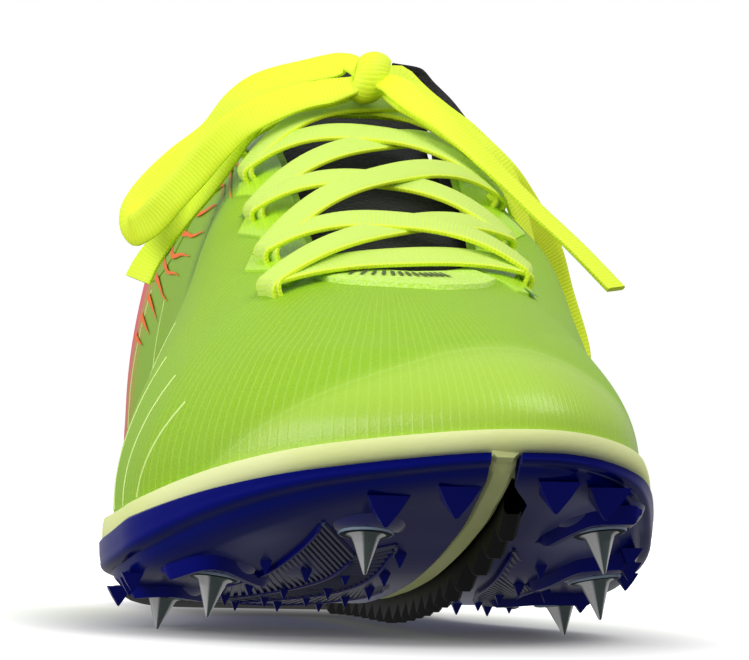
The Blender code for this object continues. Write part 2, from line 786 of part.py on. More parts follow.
def spike_axis(name, out, forward):
    """The way a spike points, from its tilts in degrees."""
    side = -1 if name.startswith("lateral") else 1
    way = Vector((side * math.tan(math.radians(out)), -math.tan(math.radians(forward)), -1))
    return way.normalized()


def spike_base(name, x, behind, out, forward):
    px, py = at_toe(x, behind)
    return Vector((px, py, float(level("under", py)) - 0.0004)), spike_axis(name, out, forward)


def make_spike(row, material, collection):
    """A turned steel spike: a thin collar and a long cone with a blunt tip."""
    name = row[0]
    base, way = spike_base(*row)
    length = SPIKE_LENGTH
    if name.endswith("rear"):
        length = base.z / -way.z
    turned = way.to_track_quat("Z", "Y").to_matrix()
    profile = (
        (0.0, 0.0000),
        (PIN_COLLAR, 0.0000),
        (PIN_COLLAR, 0.0006),
        (SPIKE_RADIUS, 0.0010),
        (0.0018, 0.0010 + (length - 0.0010) * 0.42),
        (0.0003, length),
        (0.0, length),
    )
    start = base + way * GAP
    sides = 12
    points = [start]
    for radius, down in profile[1:-1]:
        for i in range(sides):
            angle = 2 * math.pi * i / sides
            spoke = Vector((radius * math.cos(angle), radius * math.sin(angle), 0))
            points.append(base + way * max(down, GAP) + turned @ spoke)
    points.append(base + way * length)
    if name.endswith("rear"):
        for i in range(sides):
            points[-2 - i].z = 0.0
        points[-1].z = 0.0
    faces = [(0, 1 + (i + 1) % sides, 1 + i) for i in range(sides)]
    for j in range(len(profile) - 3):
        for i in range(sides):
            a, b = 1 + j * sides + i, 1 + j * sides + (i + 1) % sides
            faces.append((a, b, b + sides, a + sides))
    last = len(points) - 1
    faces += [(last, last - sides + i, last - sides + (i + 1) % sides) for i in range(sides)]
    return new_object("spike_" + name, points, faces, material, collection)


def plate_details(side):
    """The seats, fins, ribs, lugs, teeth and wedges under one half of the plate."""
    lateral = side < 0
    shapes = []
    for row in SPIKES:
        if row[0].startswith("lateral") != lateral:
            continue
        base, way = spike_base(*row)
        foot = base - way * SEAT_HEIGHT
        shapes.append(tapered(foot, base, SEAT_RADIUS + SEAT_FLARE, SEAT_RADIUS - SEAT_TAPER, 20))
    for x, behind in LATERAL_LUGS if lateral else MEDIAL_LUGS:
        shapes.append(lug(x, behind, *LUG))
    for x, behind in LATERAL_TEETH if lateral else MEDIAL_TEETH:
        shapes.append(lug(x, behind, *TOOTH))
    for x, behind in LATERAL_WEDGES if lateral else MEDIAL_WEDGES:
        shapes.append(lug(x, behind, *WEDGE))
    for places in LATERAL_FINS if lateral else MEDIAL_FINS:
        shapes.append(rail(places, *FIN))
    for places in LATERAL_RIBS if lateral else MEDIAL_RIBS:
        shapes.append(rail(places, *RIB))
    return shapes


def make_plate(name, side, blank, material, collection, tools):
    half = plate_side(name, side, blank, material, collection, tools)
    for i, shape in enumerate(plate_details(side)):
        piece = joined(f"{name}_detail_{i}", [shape], material, tools)
        boolean(half, piece, "UNION")
    return half


def make_heel_pad(blank, material, collection, tools):
    """The rubber under the heel and arch, behind the plate."""
    front = float(foot_y(PLATE_REAR)) + GAP
    back = HEEL_BACK_Y + BALL_WIDTH
    corners = [(-BALL_WIDTH, front), (BALL_WIDTH, front), (BALL_WIDTH, back), (-BALL_WIDTH, back)]
    cutter = prism("heel_cutter", corners, CUTTER_LOW, CUTTER_HIGH, material, tools)
    pad = bpy.data.objects.new("heel_pad", blank.data.copy())
    collection.objects.link(pad)
    pad.data.materials[0] = material
    boolean(pad, cutter, "INTERSECT")
    pad.data.materials.clear()
    pad.data.materials.append(material)
    return pad


def make_strip(material, collection):
    """The toothed rubber strip that runs back down the channel."""
    rear = float(foot_y(STRIP_REAR))
    front = float(foot_y(STRIP_FRONT))
    count = int((rear - front) / STRIP_PITCH)
    ys = []
    drops = []
    for i in range(count):
        start = front + i * (rear - front) / count
        step = (rear - front) / count
        ys += [start, start + 0.62 * step]
        drops += [STRIP_ROOT, STRIP_TOOTH]
    ys.append(rear)
    drops.append(STRIP_ROOT)
    ys = np.array(ys)
    centre = channel_edge(ys, 1) - 1.5 * GAP - STRIP_WIDTH / 2
    low = np.maximum(level("under", ys) - np.array(drops), 0.0006)
    high = level("foam", ys) - GAP
    half = STRIP_WIDTH / 2
    rows = [
        np.column_stack([centre - half, ys, high]),
        np.column_stack([centre + half, ys, high]),
        np.column_stack([centre + half * 0.7, ys, low]),
        np.column_stack([centre - half * 0.7, ys, low]),
    ]
    points = np.stack(rows, axis=1).reshape(-1, 3)
    return new_object("spine_strip", points, bar_faces(len(ys)), material, collection)


def ring_place(share, side):
    """The ring step of a share of the length, on one side (-1 lateral, 1 medial)."""
    step = float(turn(share)) / math.pi * HALF
    return step if side < 0 else RING - step


def band(name, places, lows, highs, gap, thickness, columns, material, collection):
    """A thin overlay on the upper, between two edges given at ring places."""
    under = upper_surface(4 * STEPS + 1, gap)
    over = upper_surface(4 * STEPS + 1, gap + thickness)
    places = np.asarray(places, float)[:, None]
    shares = np.linspace(0, 1, columns)[None, :]
    ups = np.asarray(lows, float)[:, None] * (1 - shares) + np.asarray(highs, float)[:, None] * shares
    rounds = np.broadcast_to(places, ups.shape)
    return patch(name, at_place(under, rounds, ups), at_place(over, rounds, ups), material, collection)


def make_eyestay(name, side, material, collection):
    """The overlay that holds the eyelets, with a saw-tooth outer edge."""
    places = [ring_place(share, side) for share in column(EYESTAY, 0)]
    lows = column(EYESTAY, 1)
    highs = np.full(len(places), OVERLAY_TOP)
    return band(name, places, lows, highs, LACE_GAP, EYESTAY_THICKNESS, 7, material, collection)


def make_vamp_band(material, collection):
    """The stitched band round the front of the throat."""
    places = np.linspace(ring_place(BAND_START, -1), ring_place(BAND_START, 1), 21)
    lows = CUFF_FOOT - 0.035 * np.cos(np.linspace(-1, 1, 21) * math.pi / 2)
    highs = np.full(21, OVERLAY_TOP)
    return band("vamp_band", places, lows, highs, GAP, BAND_THICKNESS, 3, material, collection)


def make_cuff(material, collection):
    """The soft edge round the collar, from one top eyelet round the heel to the other."""
    reach = ring_place(CUFF_START, -1)
    places = np.linspace(-reach, reach, 33)
    lows = np.full(33, CUFF_FOOT)
    highs = np.full(33, OVERLAY_TOP)
    return band("collar_cuff", places, lows, highs, CUFF_GAP, CUFF_THICKNESS, 4, material, collection)


def make_tongue(material, collection):
    """A padded tongue under the laces, standing a little above the top eyelets."""
    shares = np.linspace(0.372, 0.775, 19)
    height = smooth(column(TONGUE, 0), column(TONGUE, 1), shares)
    half = smooth(column(TONGUE, 0), column(TONGUE, 2), shares)
    middle = middle_x(foot_y(shares)) + np.interp(shares, (0.372, 0.775), (0.0030, 0.0010))
    q = np.linspace(-1, 1, 7)
    x = middle[:, None] + half[:, None] * q[None, :]
    y = np.broadcast_to(foot_y(shares)[:, None], x.shape)
    z = height[:, None] - 0.0024 - 0.0068 * q[None, :] ** 2
    top = np.stack([x, y, z], axis=2)
    bottom = top + np.array([0.0, 0.0009, -0.0020])
    return patch("tongue", bottom, top, material, collection)


def ribbon(path, normals, width, thickness):
    """A flat lace along a path, as points and faces; the normals say which way its face looks."""
    path = np.asarray(path, float)
    normals = np.asarray(normals, float)
    along = np.gradient(path, axis=0)
    along /= np.linalg.norm(along, axis=1)[:, None]
    side = np.cross(along, normals)
    side /= np.linalg.norm(side, axis=1)[:, None]
    face = np.cross(side, along)
    corners = (
        path - side * width / 2 - face * thickness / 2,
        path + side * width / 2 - face * thickness / 2,
        path + side * width / 2 + face * thickness / 2,
        path - side * width / 2 + face * thickness / 2,
    )
    points = np.stack(corners, axis=1).reshape(-1, 3)
    return points, bar_faces(len(path))


def eyelet(index, side, lift):
    """A place on the upper at an eyelet, lifted off its face, and the face's normal there."""
    share, up = EYELETS[index][:2] if side < 0 else EYELETS[index][2:]
    place = ring_place(share, side)
    grid = upper_surface(4 * STEPS + 1, 0.0)
    normal = at_place(upper_normals(grid), place, up)
    return at_place(grid, place, up) + lift * normal, normal


def lace_run(first, last, rise, lift):
    """The path of a lace over the tongue between two eyelets, and the way it faces."""
    t = np.array([0, 0.05, 0.12, 0.22, 0.35, 0.5, 0.65, 0.78, 0.88, 0.95, 1])[:, None]
    start, start_normal = eyelet(*first, lift)
    end, end_normal = eyelet(*last, lift)
    arch = 1 - np.abs(2 * t - 1) ** 2.6
    path = start + (end - start) * t + np.array(RISE_WAY) * rise * arch
    middle = np.array(LACE_FACE)
    normals = start_normal * (1 - t) ** 2 + 2.6 * middle * t * (1 - t) + end_normal * t ** 2
    return path, normals / np.linalg.norm(normals, axis=1)[:, None]


def make_lace_crossings(material, collection, tools):
    """The bar, the crossings and the top bar of the lace, joined where they meet."""
    runs = [lace_run((0, -1), (0, 1), BAR_RISE, BAR_LIFT)]
    for i, (over_rise, under_rise) in enumerate(CROSSING_RISES):
        over = -1 if i % 2 else 1
        runs.append(lace_run((i, over), (i + 1, -over), over_rise, OVER_LIFT))
        runs.append(lace_run((i, -over), (i + 1, over), under_rise, UNDER_LIFT))
    runs.append(lace_run((4, -1), (4, 1), TOP_RISE, TOP_LIFT))
    whole = None
    for i, (path, normals) in enumerate(runs):
        shape = ribbon(path, normals, LACE_WIDTH, LACE_THICKNESS)
        if whole is None:
            whole = joined("lace_crossings", [shape], material, collection)
        else:
            boolean(whole, joined(f"lace_run_{i}", [shape], material, tools), "UNION")
    return whole


def strand_path(places):
    """A smooth path through a strand's places, and the way its face looks along it."""
    points = np.array([(*at_toe(x, behind), z) for x, behind, z, _, _ in places])
    along = np.concatenate([[0], np.cumsum(np.linalg.norm(np.diff(points, axis=0), axis=1))])
    at = np.linspace(0, along[-1], 2 * (len(places) - 1) + 1)
    path = np.stack([smooth(along, points[:, i], at) for i in range(3)], axis=1)
    turned = np.radians(smooth(along, column(places, 3), at))
    tipped = np.radians(smooth(along, column(places, 4), at))
    facing = np.stack([
        np.sin(turned) * np.cos(tipped), -np.cos(turned) * np.cos(tipped), np.sin(tipped)
    ], axis=1)
    return path, facing


def make_strand(name, places, material, collection):
    """A loop or end of the bow."""
    path, facing = strand_path(places)
    along = np.gradient(path, axis=0)
    along /= np.linalg.norm(along, axis=1)[:, None]
    wide = np.cross(along, facing)
    wide /= np.linalg.norm(wide, axis=1)[:, None]
    shape = ribbon(path, np.cross(wide, along), LACE_WIDTH, LACE_THICKNESS)
    return joined(name, [shape], material, collection)


def make_knot(material, collection):
    """The middle of the bow."""
    x, y = at_toe(KNOT[0], KNOT[1])
    centre = Vector((x, y, KNOT[2]))
    shape = bmesh.new()
    bmesh.ops.create_uvsphere(shape, u_segments=16, v_segments=8, radius=1.0)
    bmesh.ops.transform(
        shape, matrix=Matrix.Translation(centre) @ Matrix.Diagonal((*KNOT_RADII, 1.0)), verts=shape.verts
    )
    mesh = bpy.data.meshes.new("lace_knot")
    shape.to_mesh(mesh)
    shape.free()
    mesh.materials.append(material)
    made = bpy.data.objects.new("lace_knot", mesh)
    collection.objects.link(made)
    return made


def new_material(name, colour, roughness, metallic):
    made = bpy.data.materials.new(name)
    made.use_nodes = True
    shader = made.node_tree.nodes["Principled BSDF"]
    shader.inputs["Base Color"].default_value = (*colour, 1.0)
    shader.inputs["Roughness"].default_value = roughness
    shader.inputs["Metallic"].default_value = metallic
    return made


def main():
    for old in list(bpy.data.objects):
        bpy.data.objects.remove(old, do_unlink=True)
    shoe = bpy.data.collections.new("track_spike_shoe")
    tools = bpy.data.collections.new("cutters")
    bpy.context.scene.collection.children.link(shoe)
    bpy.context.scene.collection.children.link(tools)
    mesh_fabric = new_material("lime_mesh", (0.36, 0.62, 0.05), 0.45, 0.0)
    overlay = new_material("lime_overlay", (0.45, 0.70, 0.10), 0.35, 0.0)
    pale = new_material("pale_band", (0.72, 0.80, 0.42), 0.7, 0.0)
    foam = new_material("pale_foam", (0.72, 0.74, 0.42), 0.6, 0.0)
    plate = new_material("blue_plate", (0.01, 0.01, 0.22), 0.2, 0.0)
    rubber = new_material("black_rubber", (0.02, 0.02, 0.02), 0.6, 0.0)
    lining = new_material("black_lining", (0.02, 0.02, 0.02), 0.9, 0.0)
    steel = new_material("spike_steel", (0.80, 0.82, 0.84), 0.15, 1.0)
    lace = new_material("yellow_lace", (0.75, 0.90, 0.08), 0.8, 0.0)
    add_channel_ridge(make_midsole(foam, shoe), foam, tools)
    make_insole(lining, shoe)
    make_upper(mesh_fabric, shoe)
    make_tongue(lining, shoe)
    blank = plate_blank("plate_blank", plate, tools)
    make_plate("plate_lateral", -1, blank, plate, shoe, tools)
    make_plate("plate_medial", 1, blank, plate, shoe, tools)
    make_heel_pad(blank, rubber, shoe, tools)
    bpy.data.objects.remove(blank, do_unlink=True)
    make_strip(rubber, shoe)
    for row in SPIKES:
        make_spike(row, steel, shoe)
    make_eyestay("eyestay_lateral", -1, overlay, shoe)
    make_eyestay("eyestay_medial", 1, overlay, shoe)
    make_vamp_band(pale, shoe)
    make_cuff(lining, shoe)
    make_lace_crossings(lace, shoe, tools)
    make_knot(lace, shoe)
    for name, places in STRANDS:
        make_strand(name, places, lace, shoe)


main()
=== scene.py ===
"""Dresses a packed right track spike shoe: mesh upper, overlays, flat laces tied in a bow,
foam midsole, ribbed blue sole plate and steel spikes, on a pale floor.

Metres, +Z up, toe towards -Y, +X the inner side. Every skin piece is worked out from the same
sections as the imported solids, on a finer grid."""
import json
import math

import bmesh
import bpy
import numpy as np
from bpy.props import FloatProperty, FloatVectorProperty, PointerProperty
from mathutils import Matrix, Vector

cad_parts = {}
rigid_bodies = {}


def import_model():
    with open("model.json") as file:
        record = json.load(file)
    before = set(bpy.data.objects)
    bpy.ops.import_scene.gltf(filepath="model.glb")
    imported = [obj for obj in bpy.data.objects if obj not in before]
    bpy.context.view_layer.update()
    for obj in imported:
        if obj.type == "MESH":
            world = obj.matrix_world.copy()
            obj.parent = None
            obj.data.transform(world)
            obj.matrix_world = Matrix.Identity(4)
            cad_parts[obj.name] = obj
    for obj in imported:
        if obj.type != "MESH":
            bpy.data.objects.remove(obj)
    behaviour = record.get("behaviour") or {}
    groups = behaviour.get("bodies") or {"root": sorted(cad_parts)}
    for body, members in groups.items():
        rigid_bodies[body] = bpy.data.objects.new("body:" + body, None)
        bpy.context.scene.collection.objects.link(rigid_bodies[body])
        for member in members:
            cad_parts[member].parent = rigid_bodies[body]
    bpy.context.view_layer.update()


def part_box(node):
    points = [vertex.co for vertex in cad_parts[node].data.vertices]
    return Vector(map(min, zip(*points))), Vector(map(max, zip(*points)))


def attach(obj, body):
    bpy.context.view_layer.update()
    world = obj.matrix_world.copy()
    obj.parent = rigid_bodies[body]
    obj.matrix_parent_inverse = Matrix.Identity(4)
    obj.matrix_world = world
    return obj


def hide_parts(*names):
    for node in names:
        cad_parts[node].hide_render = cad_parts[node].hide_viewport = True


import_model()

bl_info = {
    "name": "Track Spike Shoe",
    "version": (1, 0, 0),
    "blender": (4, 5, 0),
    "location": "View3D > Sidebar > Spike Shoe",
    "description": "Builds the visual model of a laced track spike shoe piece by piece",
    "category": "Object",
}

# Driving sizes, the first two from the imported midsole
SOLE_LOW, SOLE_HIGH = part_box("midsole")
LENGTH = SOLE_HIGH.y - SOLE_LOW.y
HEEL_BACK_Y = SOLE_HIGH.y
BALL_WIDTH = 0.098
GAP = 0.0003
WALL = 0.0015
LIP_INSET = 0.0020
CHANNEL_WIDTH = 0.0050
STRIP_WIDTH = 0.0032
STRIP_PITCH = 0.0075
STRIP_DROP = 0.0008
STRIP_TOOTH = 0.0030
THREAD_WIDTH = 0.0006
SKIRT_DROP = 0.0020
PIPING_WIDTH = 0.0013
DOWN = np.array([0.0, 0.0, -1.0])
SPIKE_LENGTH = 0.0074
SEAT_RADIUS = 0.0068
FULL_TURN = 2 * math.pi

# Rough lengths of one turn round the upper and of its wall from edge to edge
GIRTH = 2.1 * LENGTH
WALL_HEIGHT = 0.27 * LENGTH

# Grid steps round the shoe and up the upper's wall
HALF = 192
RING = 2 * HALF
ROWS = 60

# The sole's outline: share of the length from the heel, then the two edges as shares of the ball width
OUTLINE = (
    # share, lateral, medial
    (0.000, 0.000, 0.000),
    (0.012, -0.140, 0.120),
    (0.040, -0.240, 0.210),
    (0.100, -0.315, 0.280),
    (0.180, -0.340, 0.300),
    (0.300, -0.345, 0.280),
    (0.420, -0.370, 0.275),
    (0.540, -0.435, 0.325),
    (0.640, -0.500, 0.410),
    (0.725, -0.530, 0.455),
    (0.810, -0.500, 0.445),
    (0.880, -0.395, 0.415),
    (0.940, -0.235, 0.368),
    (0.980, -0.045, 0.290),
    (1.000, 0.160, 0.160),
)

# The foot's curved middle line
MIDDLE = (
    # share, across in metres
    (0.000, -0.0015),
    (0.036, -0.0009),
    (0.127, 0.0011),
    (0.236, 0.0031),
    (0.345, 0.0046),
    (0.455, 0.0055),
    (0.564, 0.0053),
    (0.727, 0.0032),
    (1.000, -0.0004),
)

# Heights in the sole, in metres
LEVELS = (
    # share, under, foam, edge, bed
    (0.00, 0.0052, 0.0085, 0.0290, 0.0215),
    (0.03, 0.0012, 0.0052, 0.0275, 0.0200),
    (0.06, 0.0000, 0.0040, 0.0265, 0.0190),
    (0.20, 0.0000, 0.0040, 0.0245, 0.0175),
    (0.28, 0.0012, 0.0050, 0.0235, 0.0170),
    (0.38, 0.0042, 0.0085, 0.0225, 0.0168),
    (0.50, 0.0046, 0.0108, 0.0212, 0.0160),
    (0.60, 0.0044, 0.0116, 0.0204, 0.0155),
    (0.70, 0.0062, 0.0132, 0.0200, 0.0166),
    (0.76, 0.0080, 0.0148, 0.0208, 0.0180),
    (0.82, 0.0108, 0.0180, 0.0233, 0.0209),
    (0.88, 0.0168, 0.0233, 0.0280, 0.0260),
    (0.94, 0.0232, 0.0283, 0.0326, 0.0309),
    (1.00, 0.0286, 0.0325, 0.0364, 0.0351),
)

# The upper's top edge for points round its lower edge, then how the wall bulges and closes in
UPPER = (
    # share, top share, lateral, medial, height, belly, rise, spread, drop
    (0.000, 0.040, 0.000, 0.000, 0.0870, 0.0030, 0.36, 0.0030, 0.30),
    (0.012, 0.044, -0.105, 0.095, 0.0865, 0.0030, 0.36, 0.0030, 0.30),
    (0.040, 0.060, -0.190, 0.170, 0.0842, 0.0030, 0.36, 0.0035, 0.30),
    (0.100, 0.112, -0.250, 0.225, 0.0790, 0.0025, 0.36, 0.0040, 0.28),
    (0.180, 0.187, -0.272, 0.248, 0.0750, 0.0020, 0.36, 0.0045, 0.26),
    (0.280, 0.275, -0.272, 0.258, 0.0785, 0.0015, 0.38, 0.0050, 0.24),
    (0.370, 0.355, -0.240, 0.245, 0.0895, 0.0010, 0.40, 0.0065, 0.20),
    (0.450, 0.425, -0.165, 0.200, 0.0985, 0.0010, 0.40, 0.0110, 0.12),
    (0.540, 0.500, -0.155, 0.186, 0.0915, 0.0010, 0.42, 0.0150, 0.09),
    (0.620, 0.570, -0.152, 0.176, 0.0832, 0.0012, 0.42, 0.0170, 0.08),
    (0.700, 0.635, -0.148, 0.168, 0.0755, 0.0012, 0.40, 0.0190, 0.08),
    (0.780, 0.690, -0.142, 0.156, 0.0696, 0.0012, 0.40, 0.0200, 0.10),
    (0.860, 0.724, -0.110, 0.128, 0.0664, 0.0012, 0.38, 0.0240, 0.13),
    (0.930, 0.738, -0.050, 0.078, 0.0652, 0.0012, 0.38, 0.0300, 0.16),
    (1.000, 0.742, 0.018, 0.018, 0.0648, 0.0012, 0.38, 0.0330, 0.18),
)

# Creases of the worn mesh: both ends in turns round and share up, then width and depth in metres
CREASES = (
    ((0.395, 0.56), (0.455, 0.50), 0.0040, -0.00035),
    ((0.400, 0.44), (0.470, 0.40), 0.0030, 0.00022),
    ((0.540, 0.52), (0.600, 0.58), 0.0040, -0.00030),
    ((0.340, 0.62), (0.372, 0.46), 0.0060, -0.00020),
    ((0.760, 0.60), (0.712, 0.62), 0.0150, 0.00420),
    ((0.640, 0.62), (0.672, 0.34), 0.0060, -0.00040),
    ((0.742, 0.60), (0.748, 0.25), 0.0070, -0.00050),
    ((0.080, 0.70), (0.105, 0.30), 0.0060, -0.00040),
    ((0.920, 0.70), (0.895, 0.30), 0.0060, -0.00040),
)

# Rings of the foam: how far in from the outline, share of the way from its underside to its edge (2 for
# its bed), and height over that. Then the insole's rings: how far in, and height over the bed.
FOAM_RINGS = (
    (0.0045, 0.00, 0.0), (0.0026, 0.00, 0.0), (0.0012, 0.03, 0.0), (0.0004, 0.15, 0.0),
    (0.0000, 0.40, 0.0), (0.0000, 0.62, 0.0), (0.0001, 0.80, 0.0), (0.0003, 0.93, 0.0),
    (0.0007, 1.00, -0.0004), (0.0014, 1.00, -0.0001), (0.0034, 1.00, 0.0), (0.0050, 1.00, 0.0),
    (0.0058, 2.00, 0.0),
)
INSOLE_RINGS = (
    (0.0064, GAP), (0.0062, 0.0012), (0.0063, 0.0024), (0.0068, 0.0030), (0.0090, 0.0031),
)

# Rings of the plate: how far in from the outline, and share of the way from the underside to the foam.
# Then how the front end of the foam in the channel rises: distance back from the rim, and the share.
PLATE_RINGS = (
    (0.0150, 0.00), (0.0110, 0.01), (0.0072, 0.04), (0.0048, 0.11), (0.0032, 0.23), (0.0024, 0.36),
    (0.0021, 0.46), (0.0018, 0.51), (0.0010, 0.535), (0.0004, 0.57), (0.0000, 0.63), (-0.0002, 0.71),
    (-0.0002, 0.80), (-0.0004, 0.96), (-0.0005, 1.30), (-0.0002, 1.36), (0.0012, 1.00),
)
RIDGE_FRONT = (
    (0.0000, 0.63), (0.0010, 0.54), (0.0018, 0.51), (0.0024, 0.36),
    (0.0032, 0.23), (0.0048, 0.11), (0.0072, 0.04), (0.0110, 0.00),
)

# Share of the shoe's length, from the heel, at which the plate's halves begin
PLATE_REAR = 0.395

# The channel between the plate's halves, across as a share of the ball width
CHANNEL = (
    # share, across
    (0.34, 0.010),
    (0.48, 0.035),
    (0.60, 0.050),
    (0.66, 0.059),
    (0.74, 0.063),
    (0.82, 0.072),
    (0.87, 0.094),
    (0.92, 0.107),
    (1.02, 0.104),
)

# Eyelets from the toe up: on each side, share of the length and share up the wall
EYELETS = (
    # lateral share, lateral up, medial share, medial up
    (0.849, 0.764, 0.788, 0.820),
    (0.757, 0.858, 0.713, 0.890),
    (0.640, 0.855, 0.612, 0.875),
    (0.549, 0.869, 0.537, 0.880),
    (0.481, 0.885, 0.490, 0.890),
)

# How far the drawn laces arch over the tongue: the bar, then each crossing's two runs, in metres
SCENE_RISES = (
    # over, under
    (0.0030, 0.0030),
    (0.0062, 0.0050),
    (0.0080, 0.0071),
    (0.0085, 0.0081),
    (0.0104, 0.0092),
)
TOP_RISE = 0.0064

# Distance between the cross ribs of the lace's weave
RIB_PITCH = 0.00075

# How far the laces stand off the wall at an eyelet, the radius of their turn down through it, the way
# that they arch and the way that they face
BAR_LIFT = 0.0022
OVER_LIFT = 0.0028
UNDER_LIFT = 0.0025
TOP_LIFT = 0.0036
TURN_RADIUS = 0.0016
RISE_WAY = (0.0, -0.10, 0.995)
LACE_FACE = (0.0, -0.60, 0.80)

# The tongue: share of the length, then its edge line's height and its half width in metres
TONGUE = (
    # share, height, half width
    (0.372, 0.1165, 0.0160),
    (0.385, 0.1130, 0.0168),
    (0.410, 0.1045, 0.0152),
    (0.440, 0.0974, 0.0158),
    (0.500, 0.0912, 0.0192),
    (0.570, 0.0829, 0.0210),
    (0.635, 0.0752, 0.0205),
    (0.690, 0.0693, 0.0198),
    (0.724, 0.0661, 0.0190),
    (0.745, 0.0640, 0.0175),
    (0.775, 0.0598, 0.0150),
)

# How much wider the drawn tongue is under the laces
TONGUE_SPREAD = 1.18

# The collar's inner corner: its foot and its edge, each as x, distance behind the toe tip and height
FLAP = (
    (0.0150, 0.1700, 0.1050, 0.0165, 0.1650, 0.1136),
    (0.0200, 0.1700, 0.1035, 0.0222, 0.1650, 0.1128),
    (0.0235, 0.1650, 0.1005, 0.0252, 0.1650, 0.1100),
    (0.0255, 0.1600, 0.0985, 0.0290, 0.1640, 0.1062),
    (0.0262, 0.1560, 0.0965, 0.0325, 0.1620, 0.1014),
    (0.0266, 0.1520, 0.0950, 0.0352, 0.1600, 0.0981),
    (0.0270, 0.1480, 0.0930, 0.0378, 0.1560, 0.0948),
    (0.0276, 0.1440, 0.0915, 0.0392, 0.1500, 0.0921),
)

# Spikes: base across and behind the toe tip in metres, tilts outwards and forwards in degrees
SPIKES = (
    # name, x, behind, out, forward
    ("lateral_front", -0.0085, 0.0275, 2.0, 12.0),
    ("lateral_middle", -0.0316, 0.0498, 8.0, 8.0),
    ("lateral_rear", -0.0375, 0.0756, 9.0, 0.0),
    ("medial_front", 0.0312, 0.0254, 6.0, 12.0),
    ("medial_middle", 0.0352, 0.0470, 8.0, 8.0),
    ("medial_rear", 0.0356, 0.0782, 9.0, 0.0),
)

# The bow: the knot's middle and its radii, and the share of a strand's width where it goes into the knot.
# Then where the strands run, and the way that their faces look: turned towards +X and tipped up.
KNOT = (0.0069, 0.1340, 0.1067)
GATHER = 0.60
KNOT_RADII = (0.0033, 0.0036, 0.0050)
STRANDS = (
    # x, distance behind the toe tip, height in metres, then turned and tipped in degrees
    ("lace_loop_lateral", "object", (
        (0.0036, 0.1390, 0.1101, 0, 35),
        (-0.0057, 0.1425, 0.1083, 0, 40),
        (-0.0129, 0.1445, 0.1061, -10, 40),
        (-0.0175, 0.1458, 0.1024, -15, 30),
        (-0.0219, 0.1482, 0.0963, -15, 25),
        (-0.0288, 0.1500, 0.0904, -15, 20),
        (-0.0350, 0.1498, 0.0838, -20, 15),
        (-0.0385, 0.1478, 0.0780, -60, -10),
        (-0.0379, 0.1450, 0.0762, -60, -20),
        (-0.0353, 0.1420, 0.0777, -10, 5),
        (-0.0313, 0.1390, 0.0824, 0, 20),
        (-0.0266, 0.1370, 0.0879, 0, 20),
        (-0.0225, 0.1352, 0.0930, 0, 20),
        (-0.0184, 0.1342, 0.0970, 0, 25),
        (-0.0131, 0.1332, 0.0998, 0, 35),
        (-0.0062, 0.1322, 0.1025, 0, 40),
        (0.0025, 0.1320, 0.1048, 0, 35),
    )),
    ("lace_end_lateral", "bare", (
        (0.0033, 0.1345, 0.1045, 0, 30),
        (-0.0066, 0.1350, 0.1026, 0, 30),
        (-0.0137, 0.1380, 0.1002, -10, 25),
        (-0.0177, 0.1402, 0.0960, -15, 20),
        (-0.0208, 0.1425, 0.0909, -25, 15),
        (-0.0239, 0.1462, 0.0853, -45, 15),
        (-0.0272, 0.1510, 0.0802, -60, 15),
        (-0.0311, 0.1530, 0.0750, -55, 15),
        (-0.0343, 0.1540, 0.0701, -45, 15),
        (-0.0358, 0.1540, 0.0669, -40, 15),
    )),
    ("lace_loop_medial", "object", (
        (0.0129, 0.1365, 0.1078, 0, 30),
        (0.0150, 0.1357, 0.1054, 5, 30),
        (0.0198, 0.1318, 0.1005, 10, 22),
        (0.0255, 0.1280, 0.0954, 10, 18),
        (0.0328, 0.1280, 0.0886, 10, 12),
        (0.0395, 0.1330, 0.0811, 10, 10),
        (0.0444, 0.1385, 0.0740, 10, 8),
        (0.0477, 0.1420, 0.0651, 10, 5),
        (0.0510, 0.1430, 0.0558, 15, 0),
        (0.0523, 0.1400, 0.0500, 60, -20),
        (0.0504, 0.1375, 0.0487, 80, -20),
        (0.0468, 0.1345, 0.0540, 75, 0),
        (0.0427, 0.1310, 0.0625, 65, 5),
        (0.0390, 0.1265, 0.0712, 60, 8),
        (0.0358, 0.1230, 0.0787, 50, 12),
        (0.0330, 0.1215, 0.0855, 35, 18),
        (0.0287, 0.1217, 0.0911, 20, 25),
        (0.0231, 0.1240, 0.0956, 10, 30),
        (0.0171, 0.1285, 0.1003, 5, 35),
        (0.0115, 0.1324, 0.1038, 0, 35),
    )),
    ("lace_end_medial", "bare", (
        (0.0105, 0.1290, 0.1054, 0, 30),
        (0.0144, 0.1245, 0.1017, 5, 35),
        (0.0194, 0.1200, 0.0974, 15, 40),
        (0.0251, 0.1168, 0.0919, 30, 45),
        (0.0311, 0.1140, 0.0857, 40, 45),
        (0.0371, 0.1110, 0.0795, 42, 42),
        (0.0433, 0.1070, 0.0731, 42, 42),
        (0.0503, 0.1020, 0.0650, 42, 42),
    )),
)

# Relief under the plate, in metres: the width and height of each kind, how far the pointed kinds are sunk
# in the plate, and their profile as shares of the height and the width
FIN_SIZE = (0.0034, 0.0017)
RIB_SIZE = (0.0012, 0.0007)
LUG_SIZE = (0.0017, 0.0021)
TOOTH_SIZE = (0.0024, 0.0018)
WEDGE_SIZE = (0.0044, 0.0040)
SUNK = 0.0014
POINTED = np.array([[0, 1.15], [0.50, 0.66], [0.92, 0.16], [0.98, 0.08], [1.0, 0.0]])

